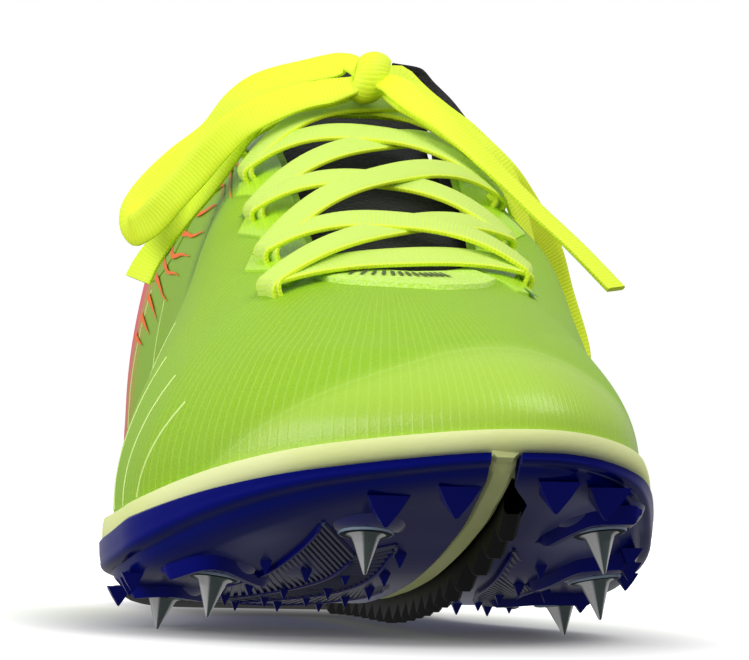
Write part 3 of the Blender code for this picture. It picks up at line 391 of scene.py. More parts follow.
# Where the relief stands: x and distance behind the toe tip, in metres
LUGS = {
    -1: (
        (-0.0234, 0.0430), (-0.0158, 0.0470), (-0.0087, 0.0484), (-0.0018, 0.0486), (-0.0007, 0.0388),
        (-0.0240, 0.0600), (-0.0172, 0.0646), (-0.0094, 0.0640), (-0.0020, 0.0640), (-0.0260, 0.0790),
        (-0.0185, 0.0810), (-0.0110, 0.0800), (-0.0040, 0.0790), (-0.0220, 0.0960), (-0.0140, 0.0970),
        (-0.0065, 0.0950),
    ),
    1: (
        (0.0247, 0.0428), (0.0235, 0.0560), (0.0225, 0.0690), (0.0300, 0.0640), (0.0215, 0.0840),
        (0.0285, 0.0900), (0.0200, 0.0980), (0.0270, 0.1040),
    ),
}
TEETH = {
    -1: ((-0.0448, 0.0590), (-0.0445, 0.0660), (-0.0448, 0.0850), (-0.0440, 0.0920)),
    1: ((0.0392, 0.0370), (0.0405, 0.0435), (0.0415, 0.0500), (0.0420, 0.0900)),
}
WEDGES = {
    -1: ((0.0040, 0.0110), (-0.0070, 0.0160)),
    1: ((0.0200, 0.0075), (0.0290, 0.0100)),
}
FINS = {
    -1: (
        ((-0.0405, 0.0500), (-0.0325, 0.0420), (-0.0205, 0.0560)),
        ((-0.0440, 0.0730), (-0.0375, 0.0685), (-0.0290, 0.0790)),
    ),
    1: (
        ((0.0215, 0.0320), (0.0300, 0.0190), (0.0370, 0.0185)),
        ((0.0245, 0.0560), (0.0320, 0.0400), (0.0400, 0.0385)),
        ((0.0225, 0.0820), (0.0320, 0.0715), (0.0410, 0.0715)),
    ),
}
RIBS = {
    -1: (
        ((-0.0160, 0.0240), (-0.0180, 0.0340), (-0.0210, 0.0430), (-0.0250, 0.0530), (-0.0290, 0.0640)),
        ((-0.0085, 0.0380), (-0.0110, 0.0480), (-0.0150, 0.0600), (-0.0210, 0.0740), (-0.0290, 0.0900)),
        ((-0.0020, 0.0330), (-0.0035, 0.0470), (-0.0065, 0.0640), (-0.0130, 0.0810), (-0.0240, 0.1010)),
        ((0.0010, 0.0600), (-0.0010, 0.0760), (-0.0060, 0.0920), (-0.0140, 0.1070), (-0.0210, 0.1160)),
    ),
    1: (
        ((0.0185, 0.0340), (0.0180, 0.0480), (0.0180, 0.0620), (0.0200, 0.0780), (0.0250, 0.0960)),
        ((0.0275, 0.0560), (0.0262, 0.0670), (0.0270, 0.0780), (0.0310, 0.0950), (0.0320, 0.1080)),
    ),
}

# Printed dashes on the lateral quarter: a row of ten between four places along it, and two short ones
# in front. Each has its wide end, its middle and its point, in turns round and share up.
DASH_COUNT = 10
DASH_WIDTH = 0.0016
DASH_ROW = (
    # share along the row, wide end, middle, point
    (0.00, 0.213, 0.985, 0.232, 0.80, 0.262, 0.75),
    (0.30, 0.190, 0.985, 0.208, 0.78, 0.230, 0.63),
    (0.60, 0.150, 0.960, 0.176, 0.82, 0.198, 0.65),
    (1.00, 0.129, 0.640, 0.141, 0.61, 0.152, 0.58),
)
FRONT_DASHES = (
    ((0.225, 0.990), (0.229, 0.950), (0.236, 0.885)),
    ((0.238, 0.830), (0.252, 0.815), (0.262, 0.830)),
)

# Pale threads down the lateral flank: places from the quarter to the sole
THREADS = (
    ((0.1426, 0.844), (0.1348, 0.420), (0.1348, 0.237), (0.1450, 0.020)),
    ((0.1836, 0.681), (0.1790, 0.440), (0.1800, 0.220), (0.1880, 0.020)),
    ((0.2400, 0.640), (0.2290, 0.420), (0.2240, 0.220), (0.2300, 0.015)),
    ((0.3000, 0.480), (0.3000, 0.300), (0.3050, 0.120), (0.3120, 0.010)),
    ((0.3300, 0.440), (0.3280, 0.280), (0.3260, 0.120), (0.3280, 0.010)),
    ((0.3550, 0.400), (0.3480, 0.260), (0.3430, 0.110), (0.3420, 0.010)),
    ((0.3730, 0.300), (0.3650, 0.180), (0.3600, 0.080), (0.3570, 0.010)),
)

# The eyestay's saw-toothed outer edge, in share of the length and share up the wall
EYESTAY = (
    # share, up
    (0.462, 0.800),
    (0.506, 0.838),
    (0.550, 0.766),
    (0.597, 0.850),
    (0.640, 0.752),
    (0.690, 0.835),
    (0.744, 0.752),
    (0.784, 0.815),
    (0.815, 0.745),
    (0.858, 0.800),
)

# The stitched band: its ends' share of the length, its low edge at the ends and how far that bows down,
# both as shares up the wall, and its row of slots
BAND_SHARE = 0.866
BAND_LOW = 0.870
BAND_BOW = 0.060
SLOT_COUNT = 14
SLOT_TURNS = (0.399, 0.546)
SLOT_RISES = (0.884, 0.930)
SLOT_WIDTH = 0.0007

# The top of the overlays, and the collar's edge: where it ends and its two edges up the wall
OVERLAY_TOP = 0.985
CUFF_SHARE = 0.440
CUFF_RISES = (0.885, 0.990)

# Windows cut in the eyestays, drawn as darker patches of painted shade: turns round and share up
WINDOWS = ((0.260, 0.825), (0.287, 0.805), (0.326, 0.830), (0.363, 0.770))


def column(table, index):
    """One column of a table."""
    return np.array([row[index] for row in table], float)


def tone(red, green, blue):
    """A colour as the eye reads it, 0 to 255 a channel, made linear."""
    shares = np.array([red, green, blue], float) / 255
    linear = np.where(shares <= 0.04045, shares / 12.92, ((shares + 0.055) / 1.055) ** 2.4)
    return tuple(float(x) for x in linear)


def colour_setting(name, description, shade):
    """A colour that a user can change, with its first value."""
    return FloatVectorProperty(name=name, description=description, subtype="COLOR", size=3, default=shade)


def length_setting(name, description, metres):
    """A length that a user can change, with its first value."""
    return FloatProperty(name=name, description=description, unit="LENGTH", default=metres)


class SpikeColours(bpy.types.PropertyGroup):
    """The colours that a user would change."""

    mesh: colour_setting("Mesh", "The upper's knitted mesh", tone(144, 187, 20))
    film: colour_setting("Toe film", "The clear film over the toe", tone(192, 222, 96))
    overlay: colour_setting("Overlay", "The eyestays", tone(178, 226, 44))
    band: colour_setting("Band", "The stitched band and the threads", tone(206, 234, 130))
    lace: colour_setting("Lace", "The lace where it is tied", tone(232, 254, 40))
    lace_pale: colour_setting("Pale lace", "The lace's face where it crosses", tone(198, 228, 104))
    print_ink: colour_setting("Print", "The dashes on the quarter", tone(255, 116, 30))
    heel: colour_setting("Heel", "The upper's tint round the heel", tone(238, 98, 110))
    foam: colour_setting("Foam", "The midsole", tone(222, 232, 150))
    plate: colour_setting("Plate", "The sole plate's rim and relief", tone(0, 8, 112))
    plate_pale: colour_setting("Pale plate", "The plate's face further back", tone(70, 96, 200))


class SpikeSizes(bpy.types.PropertyGroup):
    """The sizes that a user would change."""

    lace_width: length_setting("Lace width", "Width of the flat lace", 0.0066)
    lace_thickness: length_setting("Lace thickness", "Thickness of the flat lace", 0.0011)
    mesh_pitch: length_setting("Mesh pitch", "Distance between the mesh's long threads", 0.0019)


class SpikeStage(bpy.types.PropertyGroup):
    """The camera and the lights."""

    distance: length_setting("Camera distance", "From the camera to the forefoot", 0.7001)
    lens: FloatProperty(name="Lens", description="Focal length in millimetres", default=189.7)
    key: FloatProperty(name="Key light", description="Power of the overhead light in watts", default=3.6)
    fill: FloatProperty(name="Fill light", description="Power of the front light in watts", default=5.2)
    ambient: FloatProperty(name="Ambient", description="Strength of the light from all round", default=0.6)


class Value:
    """A shader socket that adds Math nodes when it is used in a Python expression."""

    def __init__(self, surface, socket):
        self.surface = surface
        self.socket = socket

    def math(self, operation, *others):
        """A Math node on this value and the others."""
        values = dict(enumerate((self, *others)))
        return self.surface.node("ShaderNodeMath", {"operation": operation}, values)

    def __add__(self, other):
        return self.math("ADD", other)

    __radd__ = __add__

    def __mul__(self, other):
        return self.math("MULTIPLY", other)

    __rmul__ = __mul__

    def __sub__(self, other):
        return self.math("SUBTRACT", other)

    def __rsub__(self, other):
        return self.surface.node("ShaderNodeMath", {"operation": "SUBTRACT"}, {0: other, 1: self})

    def __truediv__(self, other):
        return self.math("DIVIDE", other)

    def __neg__(self):
        return self.math("MULTIPLY", -1.0)

    def __abs__(self):
        return self.math("ABSOLUTE")

    def above(self, edge):
        return self.math("GREATER_THAN", edge)

    def below(self, edge):
        return self.math("LESS_THAN", edge)

    def part(self):
        return self.math("FRACT")

    def ramp(self, low, high, start=0.0, end=1.0):
        """Goes smoothly from start to end as this value goes from low to high."""
        values = {"Value": self, "From Min": low, "From Max": high, "To Min": start, "To Max": end}
        return self.surface.node("ShaderNodeMapRange", {"interpolation_type": "SMOOTHSTEP"}, values)

    def mix(self, first, second):
        """A colour from first to second, with this value as the share of the second."""
        values = {"Factor": self, 6: first, 7: second}
        return self.surface.node("ShaderNodeMix", {"data_type": "RGBA"}, values, 2)


class Surface:
    """A material being made: a Principled shader, and one way to add any other node."""

    def __init__(self, name, roughness, **constants):
        self.material = bpy.data.materials.new(name)
        self.material.use_nodes = True
        self.nodes = self.material.node_tree.nodes
        self.shader = self.nodes["Principled BSDF"]
        self.shader.inputs["Roughness"].default_value = roughness
        for words, value in constants.items():
            self.shader.inputs[words.replace("_", " ").title().replace("Ior", "IOR")].default_value = value

    def node(self, kind, settings, values, output=0):
        """Adds a node with its settings and inputs, and gives one of its outputs."""
        made = self.nodes.new(kind)
        for name, value in settings.items():
            setattr(made, name, value)
        for where, value in values.items():
            self.feed(made.inputs[where], value)
        return Value(self, made.outputs[output])

    def feed(self, socket, value):
        """Links a value to a socket, or sets a number or colour there."""
        if isinstance(value, Value):
            self.material.node_tree.links.new(value.socket, socket)
        elif isinstance(value, (tuple, list)) and len(value) == 3 and socket.type == "RGBA":
            socket.default_value = (*value, 1.0)
        else:
            socket.default_value = value

    def split(self, vector):
        return [self.node("ShaderNodeSeparateXYZ", {}, {0: vector}, i) for i in range(3)]

    def objects(self):
        return self.node("ShaderNodeTexCoord", {}, {}, 3)

    def chart(self, name):
        """The two numbers of one of the piece's own UV maps."""
        return self.split(self.node("ShaderNodeUVMap", {"uv_map": name}, {}))[:2]

    def noise(self, scale, detail=2.0):
        values = {"Vector": self.objects(), "Scale": scale, "Detail": detail}
        return self.node("ShaderNodeTexNoise", {}, values)

    def cells(self, scale):
        return self.node("ShaderNodeTexVoronoi", {}, {"Vector": self.objects(), "Scale": scale})

    def base(self, colour):
        self.feed(self.shader.inputs["Base Color"], colour)
        return self

    def rough(self, value):
        self.feed(self.shader.inputs["Roughness"], value)
        return self

    def bump(self, height, depth):
        """Raises the surface by depth metres where height is one."""
        values = {"Height": height, "Distance": depth, "Strength": 1.0}
        self.feed(self.shader.inputs["Normal"], self.node("ShaderNodeBump", {}, values))
        return self


class Shape:
    """Points, faces and each face corner's place on the surface, gathered from several grids."""

    def __init__(self):
        self.points = []
        self.faces = []
        self.corners = []
        self.count = 0

    def gather(self, points, quads, corners, caps=(), cap_corners=()):
        """Adds points with their faces, counted from the first of these points."""
        self.points.append(points.reshape(-1, 3))
        self.faces += (quads.reshape(-1, 4) + self.count).tolist()
        self.corners.append(corners.reshape(-1, 2))
        if len(caps):
            self.faces += (caps + self.count).tolist()
            self.corners.append(cap_corners.reshape(-1, 2))
        self.count += len(self.points[-1])
        return self

    def grid(self, points, chart=None, closed=(False, False)):
        """A sheet of quads through rows and columns of points.

        The chart has one row or column more than the points where the sheet is closed."""
        rows, columns = points.shape[:2]
        steps = (np.arange(rows - (not closed[0])), np.arange(columns - (not closed[1])))
        i, j = np.meshgrid(*steps, indexing="ij")
        down, over = quad_steps(i, j)
        quads = (down % rows) * columns + over % columns
        corners = np.zeros((*down.shape, 2)) if chart is None else chart[down, over]
        return self.gather(points, quads, corners)

    def sweep(self, paths, normals, widths, depths, profile):
        """A profile carried along many paths at once.

        A point is the path's point, plus the side vector times the profile's first number and the
        half width, plus the face vector times its second number and the half depth."""
        along = unit(np.gradient(paths, axis=1))
        side = unit(np.cross(along, normals))
        face = np.cross(side, along)
        profile = np.asarray(profile, float)
        wide = widths[..., None] * profile[:, 0]
        deep = depths[..., None] * profile[:, 1]
        points = paths[:, :, None] + side[:, :, None] * wide[..., None] + face[:, :, None] * deep[..., None]
        count, steps, sides = points.shape[:3]
        k, i, j = np.meshgrid(np.arange(count), np.arange(steps - 1), np.arange(sides), indexing="ij")
        start = k * steps * sides
        down, over = quad_steps(i, j)
        quads = start[..., None] + down * sides + over % sides
        gone = np.linalg.norm(np.diff(paths, axis=1), axis=2)
        gone = np.concatenate([np.zeros((count, 1)), np.cumsum(gone, axis=1)], axis=1)
        corners = np.stack([gone[k[..., None], down], over / sides], axis=-1)
        ends = np.arange(count)[:, None] * steps * sides
        first = ends + np.arange(sides)[::-1]
        last = ends + (steps - 1) * sides + np.arange(sides)
        caps = np.concatenate([first, last])
        return self.gather(points, quads, corners, caps, np.zeros((*caps.shape, 2)))

    def piece(self, name, material, slot, *nodes, sharp=40.0, weld=False, outward=True):
        """The finished object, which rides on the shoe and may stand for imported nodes."""
        mesh = mesh_of(name, np.concatenate(self.points).tolist(), self.faces)
        chart = mesh.uv_layers.new(name="place")
        chart.data.foreach_set("uv", np.concatenate(self.corners).astype(np.float32).ravel())
        if weld or outward:
            tidy(mesh, weld)
        mesh.materials.append(material)
        mesh.shade_smooth()
        mesh.set_sharp_from_angle(angle=math.radians(sharp))
        return settle(add_object(name, mesh), slot, *nodes)


def quad_steps(i, j):
    """The rows and the columns of the four corners of each quad."""
    return np.stack([i, i, i + 1, i + 1], axis=-1), np.stack([j, j + 1, j + 1, j], axis=-1)


def net(down, across):
    """Every pair of a value down the rows and a value across the columns."""
    return np.stack(np.meshgrid(down, across, indexing="ij"), axis=-1)


def mesh_of(name, points, faces):
    """A bare mesh."""
    mesh = bpy.data.meshes.new(name)
    mesh.from_pydata(points, [], faces)
    return mesh


def add_object(name, data):
    """A new object in the scene."""
    made = bpy.data.objects.new(name, data)
    bpy.context.scene.collection.objects.link(made)
    return made


def tidy(mesh, weld):
    """Merges doubles where asked, and points the faces outwards."""
    shape = bmesh.new()
    shape.from_mesh(mesh)
    if weld:
        bmesh.ops.remove_doubles(shape, verts=shape.verts, dist=1e-6)
    bmesh.ops.recalc_face_normals(shape, faces=shape.faces)
    shape.to_mesh(mesh)
    shape.free()


def settle(made, slot, *nodes):
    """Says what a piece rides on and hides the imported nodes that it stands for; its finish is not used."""
    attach(made, "root")
    if nodes:
        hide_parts(*nodes)
    return made


def unit(vectors):
    """Vectors of length one."""
    return vectors / np.maximum(np.linalg.norm(vectors, axis=-1), 1e-12)[..., None]


def smooth(xs, ys, at):
    """A curve through a table's points: a cubic between neighbours, level at a peak or a flat."""
    xs = np.asarray(xs, float)
    ys = np.asarray(ys, float)
    steps = np.diff(xs)
    rises = np.diff(ys) / steps
    product = rises[:-1] * rises[1:]
    total = np.where(product > 0, rises[:-1] + rises[1:], 1.0)
    middle = np.where(product > 0, 2 * product / total, 0.0)
    slopes = np.concatenate([rises[:1], middle, rises[-1:]])
    at = np.clip(np.asarray(at, float), xs[0], xs[-1])
    i = np.clip(np.searchsorted(xs, at) - 1, 0, len(steps) - 1)
    t = (at - xs[i]) / steps[i]
    h = steps[i]
    first = (1 + 2 * t) * (1 - t) ** 2 * ys[i] + t * (1 - t) ** 2 * h * slopes[i]
    second = t * t * (3 - 2 * t) * ys[i + 1] - t * t * (1 - t) * h * slopes[i + 1]
    return first + second


def read(table, index, at):
    """A column of a table, as a smooth curve over its first column."""
    return smooth(column(table, 0), column(table, index), at)


def follow(places, index, at):
    """One number of a row of places, as a smooth curve from the first place (0) to the last (1)."""
    return smooth(np.linspace(0, 1, len(places)), column(places, index), at)


def turn(share):
    """The angle from the heel (0) to the toe (pi) of a share of the length."""
    return np.arccos(np.clip(1 - 2 * np.asarray(share, float), -1, 1))


def round_place(share, side):
    """Turns round the shoe, from the heel by the lateral side, of a share of the length."""
    turns = turn(share) / FULL_TURN
    return turns if side < 0 else 1 - turns


def foot_y(share):
    """The y of a share of the length from the heel's back."""
    return HEEL_BACK_Y - LENGTH * np.asarray(share, float)


def behind_toe(behind):
    """The y of a place that lies a distance behind the toe tip."""
    return HEEL_BACK_Y - LENGTH + np.asarray(behind, float)


def share_at(y):
    """The share of the length from the heel's back, at a y."""
    return (HEEL_BACK_Y - np.asarray(y, float)) / LENGTH


def level(name, y):
    """A height in the sole at a place along the foot."""
    return read(LEVELS, ("share", "under", "foam", "edge", "bed").index(name), share_at(y))


def middle_x(y):
    """The x of the foot's middle line."""
    return read(MIDDLE, 1, share_at(y))


def round_trip(lateral, medial):
    """Values for a ring: heel, lateral side, toe, medial side."""
    return np.concatenate([lateral, medial[1:-1][::-1]])


def outline(inset):
    """The sole's outline, moved inwards, as a ring of points."""
    at = np.linspace(0, math.pi, HALF + 1)
    keys = turn(column(OUTLINE, 0))
    lateral = smooth(keys, column(OUTLINE, 1), at) * BALL_WIDTH
    medial = smooth(keys, column(OUTLINE, 2), at) * BALL_WIDTH
    y = foot_y((1 - np.cos(at)) / 2)
    back = round_trip(y, y)
    points = np.stack([round_trip(lateral, medial) + middle_x(back), back], axis=1)
    return points - inset * outward(points)


def outward(points):
    """Unit normals of a closed ring that runs anticlockwise, evened out over a few neighbours."""
    along = np.roll(points, -3, axis=0) - np.roll(points, 3, axis=0)
    return unit(np.stack([along[:, 1], -along[:, 0]], axis=1))


def raised(points, heights):
    """Flat points with their heights."""
    return np.column_stack([points, heights])


def upper_wall(rows):
    """The upper's outer face: cubic curves from the lower edge by two handles to the top edge."""
    flat = outline(LIP_INSET)
    foot = raised(flat, level("edge", flat[:, 1]) + GAP)
    at = np.linspace(0, math.pi, HALF + 1)
    keys = turn(column(UPPER, 0))

    def both(index):
        values = smooth(keys, column(UPPER, index), at)
        return round_trip(values, values)

    lateral = smooth(keys, column(UPPER, 2), at) * BALL_WIDTH
    medial = smooth(keys, column(UPPER, 3), at) * BALL_WIDTH
    back = foot_y(both(1))
    top = np.stack([round_trip(lateral, medial) + middle_x(back), back, both(4)], axis=1)
    tall = (top - foot)[:, 2]
    out = outward(flat)
    away = unit(foot[:, :2] - top[:, :2])
    near_heel = np.clip((top[:, 1] - foot_y(0.30)) / (0.2 * LENGTH), 0, 1)[:, None]
    away = away * (1 - near_heel) + out * near_heel
    low = foot + raised(out * both(5)[:, None], both(6) * tall)
    high = top + raised(away * both(7)[:, None], -both(8) * tall)
    t = np.linspace(0, 1, rows)[:, None, None]
    return (1 - t) ** 3 * foot + 3 * t * (1 - t) ** 2 * low + 3 * t * t * (1 - t) * high + t ** 3 * top


def wall_normals(grid):
    """Unit outward normals of a grid of rings."""
    around = np.roll(grid, -1, axis=1) - np.roll(grid, 1, axis=1)
    return unit(np.cross(around, np.gradient(grid, axis=0)))


def creases(around, up):
    """Soft troughs and ridges of the worn mesh, and the fuller inner side, in metres outwards.

    Each is a depth times exp of minus the squared distance from a line over its squared width."""
    total = np.zeros(np.broadcast(around, up).shape)
    for start, end, width, depth in CREASES:
        total = total + depth * np.exp(-(segment_distance(around, up, start, end) / width) ** 2)
    return total


def segment_distance(around, up, start, end):
    """Distance in metres from a straight run between two places on the upper's wall."""
    scale = np.array([GIRTH, WALL_HEIGHT])
    a = np.array(start) * scale
    run = np.array(end) * scale - a
    x = around * scale[0] - a[0]
    y = up * scale[1] - a[1]
    t = np.clip((x * run[0] + y * run[1]) / (run @ run), 0, 1)
    return np.hypot(x - t * run[0], y - t * run[1])


def make_skin():
    """The creased outer face of the upper and its normals, on the fine grid."""
    grid = upper_wall(ROWS + 1)
    normals = wall_normals(grid)
    around = np.arange(RING)[None, :] / RING
    up = np.linspace(0, 1, ROWS + 1)[:, None]
    return grid + creases(around, up)[..., None] * normals, normals


SKIN, SKIN_NORMALS = make_skin()


def between(grid, around, up):
    """Values of a ring grid at places given in turns round and share up."""
    around = np.mod(np.asarray(around, float), 1.0) * RING
    up = np.clip(np.asarray(up, float), 0, 1) * (len(grid) - 1)
    k = np.floor(around).astype(int) % RING
    j = np.minimum(np.floor(up).astype(int), len(grid) - 2)
    s = (around - np.floor(around))[..., None]
    t = (up - j)[..., None]
    near = grid[j, k] * (1 - s) + grid[j, (k + 1) % RING] * s
    far = grid[j + 1, k] * (1 - s) + grid[j + 1, (k + 1) % RING] * s
    return near * (1 - t) + far * t


def on_skin(around, up, lift=0.0):
    """Points on the upper, lifted off it, and its normals there."""
    normals = unit(between(SKIN_NORMALS, around, up))
    lift = np.asarray(lift, float)
    return between(SKIN, around, up) + (lift[..., None] if lift.ndim else lift) * normals, normals


def channel_x(y):
    """The x of the middle of the gap between the plate's halves."""
    return read(CHANNEL, 1, share_at(y)) * BALL_WIDTH


def channel_edge(y, side):
    """The edge of the gap between the plate's halves: it widens on the inner side for the strip."""
    widened = np.clip((np.asarray(y, float) - behind_toe(0.007)) / 0.008, 0, 1) * (STRIP_WIDTH + 2 * GAP)
    return channel_x(y) + side * CHANNEL_WIDTH / 2 + (widened if side > 0 else 0.0)


def skin_height(y, share):
    """A height between the sole's underside and the foam, as a share of the way up."""
    low = level("under", y)
    return low + share * (level("foam", y) - GAP - low)


def ring_solid(rings, under, over):
    """A closed solid: rings one above the other, with a floor and a roof ruled from side to side."""
    shape = Shape().grid(np.stack(rings), None, (False, True))
    for ring, height in ((rings[0], under), (rings[-1], over)):
        left = ring[:HALF + 1]
        right = np.roll(ring[::-1], 1, axis=0)[:HALF + 1]
        t = np.linspace(0, 1, 4)[None, :, None]
        cap = left[:, None] * (1 - t) + right[:, None] * t
        cap[:, 1:-1, 2] = height(cap[:, 1:-1, 1])
        shape.grid(cap)
    return shape


def mesh_copy(made, name):
    """A bare object that shares nothing with another but its shape."""
    return add_object(name, made.data.copy())


def prism(name, corners, low, high):
    """An upright solid over a flat outline."""
    count = len(corners)
    points = [(x, y, low) for x, y in corners] + [(x, y, high) for x, y in corners]
    faces = [tuple(range(count))[::-1], tuple(range(count, 2 * count))]
    faces += [(i, (i + 1) % count, count + (i + 1) % count, count + i) for i in range(count)]
    mesh = mesh_of(name, points, faces)
    tidy(mesh, False)
    return add_object(name, mesh)


def keep_inside(made, tool):
    """Cuts a piece down to what lies inside a tool, and removes the tool."""
    change = made.modifiers.new("cut", "BOOLEAN")
    change.operation = "INTERSECT"
    change.solver = "EXACT"
    change.object = tool
    bpy.context.view_layer.update()
    mesh = bpy.data.meshes.new_from_object(made.evaluated_get(bpy.context.evaluated_depsgraph_get()))
    made.modifiers.remove(change)
    made.data = mesh
    bpy.data.objects.remove(tool, do_unlink=True)
    return made


def make_upper(sizes, colours):
    """The hollow upper: a short skirt, the creased outer wall, a rounded lip and the inner wall.

    The skirt is the lower edge moved straight down. The lip is half a circle from the outer top edge to
    the inner one. The inner wall is the outer one moved in along its normals by the wall's thickness."""
    top = SKIN[-1]
    up = unit(SKIN[-1] - SKIN[-2])
    centre = top - SKIN_NORMALS[-1] * WALL / 2
    lip = [
        centre + (SKIN_NORMALS[-1] * math.cos(a) + up * math.sin(a)) * WALL / 2
        for a in (math.pi * 0.2, math.pi * 0.4, math.pi * 0.6, math.pi * 0.8)
    ]
    inner = (SKIN - SKIN_NORMALS * WALL)[::-2]
    skirt = SKIN[:1] - np.array([0.0, 0.0, SKIRT_DROP])
    points = np.concatenate([skirt, SKIN, np.stack(lip), inner])
    outer_rises = np.linspace(0, 1, ROWS + 1)
    inner_rises = np.linspace(1.05, 2, len(inner))
    rises = np.concatenate([[-0.01], outer_rises, [1.01, 1.02, 1.03, 1.04], inner_rises])
    chart = net(rises, np.linspace(0, 1, RING + 1))[..., ::-1]
    made = Shape().grid(points, chart, (False, True))
    return made.piece("upper_shell", skin_look(sizes, colours), "lime_mesh", "upper", outward=False)


def laid(shape, around, up, widths, lift, arch=0.00012):
    """A strip laid on the upper along places, with its width at each; its middle is arched."""
    points, normals = on_skin(around, up, lift)
    along = unit(np.gradient(points, axis=0))
    side = np.cross(normals, along) * np.asarray(widths, float)[:, None] / 2
    crown = normals * arch
    near = side * 0.6
    rows = np.stack([points - side, points - near + crown, points + near + crown, points + side], axis=1)
    return shape.grid(rows, net(np.linspace(0, 1, len(points)), np.linspace(0, 1, 4)))


def make_dashes(colours):
    """Printed dashes on the wall, which narrow evenly to a point.

    Each is the quadratic through its three places, with t from 0 at the wide end to 1 at the point."""
    shape = Shape()
    t = np.linspace(0, 1, 25)
    shares = np.linspace(0, 1, DASH_COUNT)
    keys = column(DASH_ROW, 0)
    row = np.stack([np.interp(shares, keys, column(DASH_ROW, i)) for i in range(1, 7)], axis=1)
    for first, middle, last in np.concatenate([np.array(FRONT_DASHES), row.reshape(-1, 3, 2)]):
        place = (first[:, None] * (1 - t) * (1 - 2 * t) + middle[:, None] * 4 * t * (1 - t)
                 + last[:, None] * t * (2 * t - 1))
        laid(shape, place[0], place[1], DASH_WIDTH * (1 - 0.9 * t), 0.0004, 0.00002)
    ink = Surface("print_ink", 0.6).base(tuple(colours.print_ink)).material
    return shape.piece("quarter_dashes", ink, "lime_mesh", outward=False)


def make_threads(colours):
    """Pale threads from the quarter to the sole: smooth curves through their places on the wall."""
    shape = Shape()
    t = np.linspace(0, 1, 33)
    for places in THREADS:
        around = follow(places, 0, t)
        for turns in (around, 1 - around):
            laid(shape, turns, follow(places, 1, t), np.full(33, THREAD_WIDTH), 0.00002)
    film = Surface("pale_thread", 0.4).base(tuple(colours.band)).material
    return shape.piece("flank_threads", film, "pale_band", outward=False)


def sheet(around, low, high, thickness, gap, columns=9):
    """A thin overlay between two edges on the wall, its rim rounded down into the wall."""
    q = np.linspace(0, 1, columns)[None, :]
    q = 0.5 - 0.5 * np.cos(math.pi * q)
    rounds = np.broadcast_to(np.asarray(around, float)[:, None], (len(around), columns))
    up = np.asarray(low, float)[:, None] * (1 - q) + np.asarray(high, float)[:, None] * q
    ends = np.minimum(np.arange(len(around)), np.arange(len(around))[::-1])
    inner = np.minimum(np.minimum(np.arange(columns), np.arange(columns)[::-1])[None, :], ends[:, None])
    lift = np.choose(np.minimum(inner, 2), [-0.0002, gap + 0.75 * thickness, gap + thickness])
    points, _ = on_skin(rounds, up, lift)
    return points, np.stack([rounds, up], axis=-1)


def make_overlays(colours):
    """The eyestays with their saw-toothed outer edge, the stitched band and the padded collar edge."""
    overlay = overlay_look(colours)
    dark = Surface("dark_lining", 0.8).base(tone(22, 26, 20)).material
    windows = Shape()
    for name, side in (("eyestay_lateral", -1), ("eyestay_medial", 1)):
        keys = round_place(column(EYESTAY, 0), -1)
        turns = np.linspace(keys[0], keys[-1], 150)
        low = np.interp(turns, keys, column(EYESTAY, 1))
        top = np.full(150, OVERLAY_TOP)
        points, chart = sheet(turns if side < 0 else 1 - turns, low, top, 0.0004, 0.0001, 13)
        Shape().grid(points, chart).piece(name + "_film", overlay, "lime_overlay", name, outward=False)
        for u, v in WINDOWS:
            t = np.linspace(0, 1, 7)
            u = u if side < 0 else 1 - u
            laid(windows, np.full(7, u), v + 0.024 - 0.048 * t, 0.0024 * t + 0.0002, 0.0006, 0.00002)
    # The windows are darker green patches on the mesh: painted shade.
    shade = Surface("window_painted_shade", 0.6).base(tone(92, 146, 52)).material
    windows.piece("eyestay_windows", shade, "lime_mesh", outward=False)
    turns = np.linspace(round_place(BAND_SHARE, -1), round_place(BAND_SHARE, 1), 120)
    bow = np.cos((turns - turns[0]) / (turns[-1] - turns[0]) * math.pi - math.pi / 2)
    points, chart = sheet(turns, BAND_LOW - BAND_BOW * bow, np.full(120, OVERLAY_TOP), 0.0007, GAP)
    pale = Surface("stitched_band", 0.6)
    stitch = pale.noise(1800.0)
    pale.base(stitch.ramp(0.3, 0.7).mix(tuple(colours.overlay), tuple(colours.band))).bump(stitch, 0.0002)
    band = Shape().grid(points, chart)
    band.piece("vamp_band_film", pale.material, "pale_band", "vamp_band", outward=False)
    slots = Shape()
    for u in np.linspace(*SLOT_TURNS, SLOT_COUNT):
        laid(slots, np.full(5, u), np.linspace(*SLOT_RISES, 5), np.full(5, SLOT_WIDTH), 0.0012, 0.00003)
    notch = Surface("slot_shade", 0.7).base(tone(74, 88, 44)).material
    slots.piece("band_slots", notch, "black_lining", outward=False)
    reach = round_place(CUFF_SHARE, -1)
    turns = np.linspace(-reach, reach, 200)
    points, chart = sheet(turns, np.full(200, CUFF_RISES[0]), np.full(200, CUFF_RISES[1]), 0.0003, 0.0, 11)
    skin = bpy.data.materials["mesh_skin"]
    Shape().grid(points, chart).piece("collar_edge", skin, "lime_mesh", "collar_cuff", outward=False)
    piping = Shape()
    laid(piping, turns, np.full(200, 0.995), np.full(200, PIPING_WIDTH), 0.0007, 0.0005)
    return piping.piece("collar_piping", dark, "black_lining", outward=False)


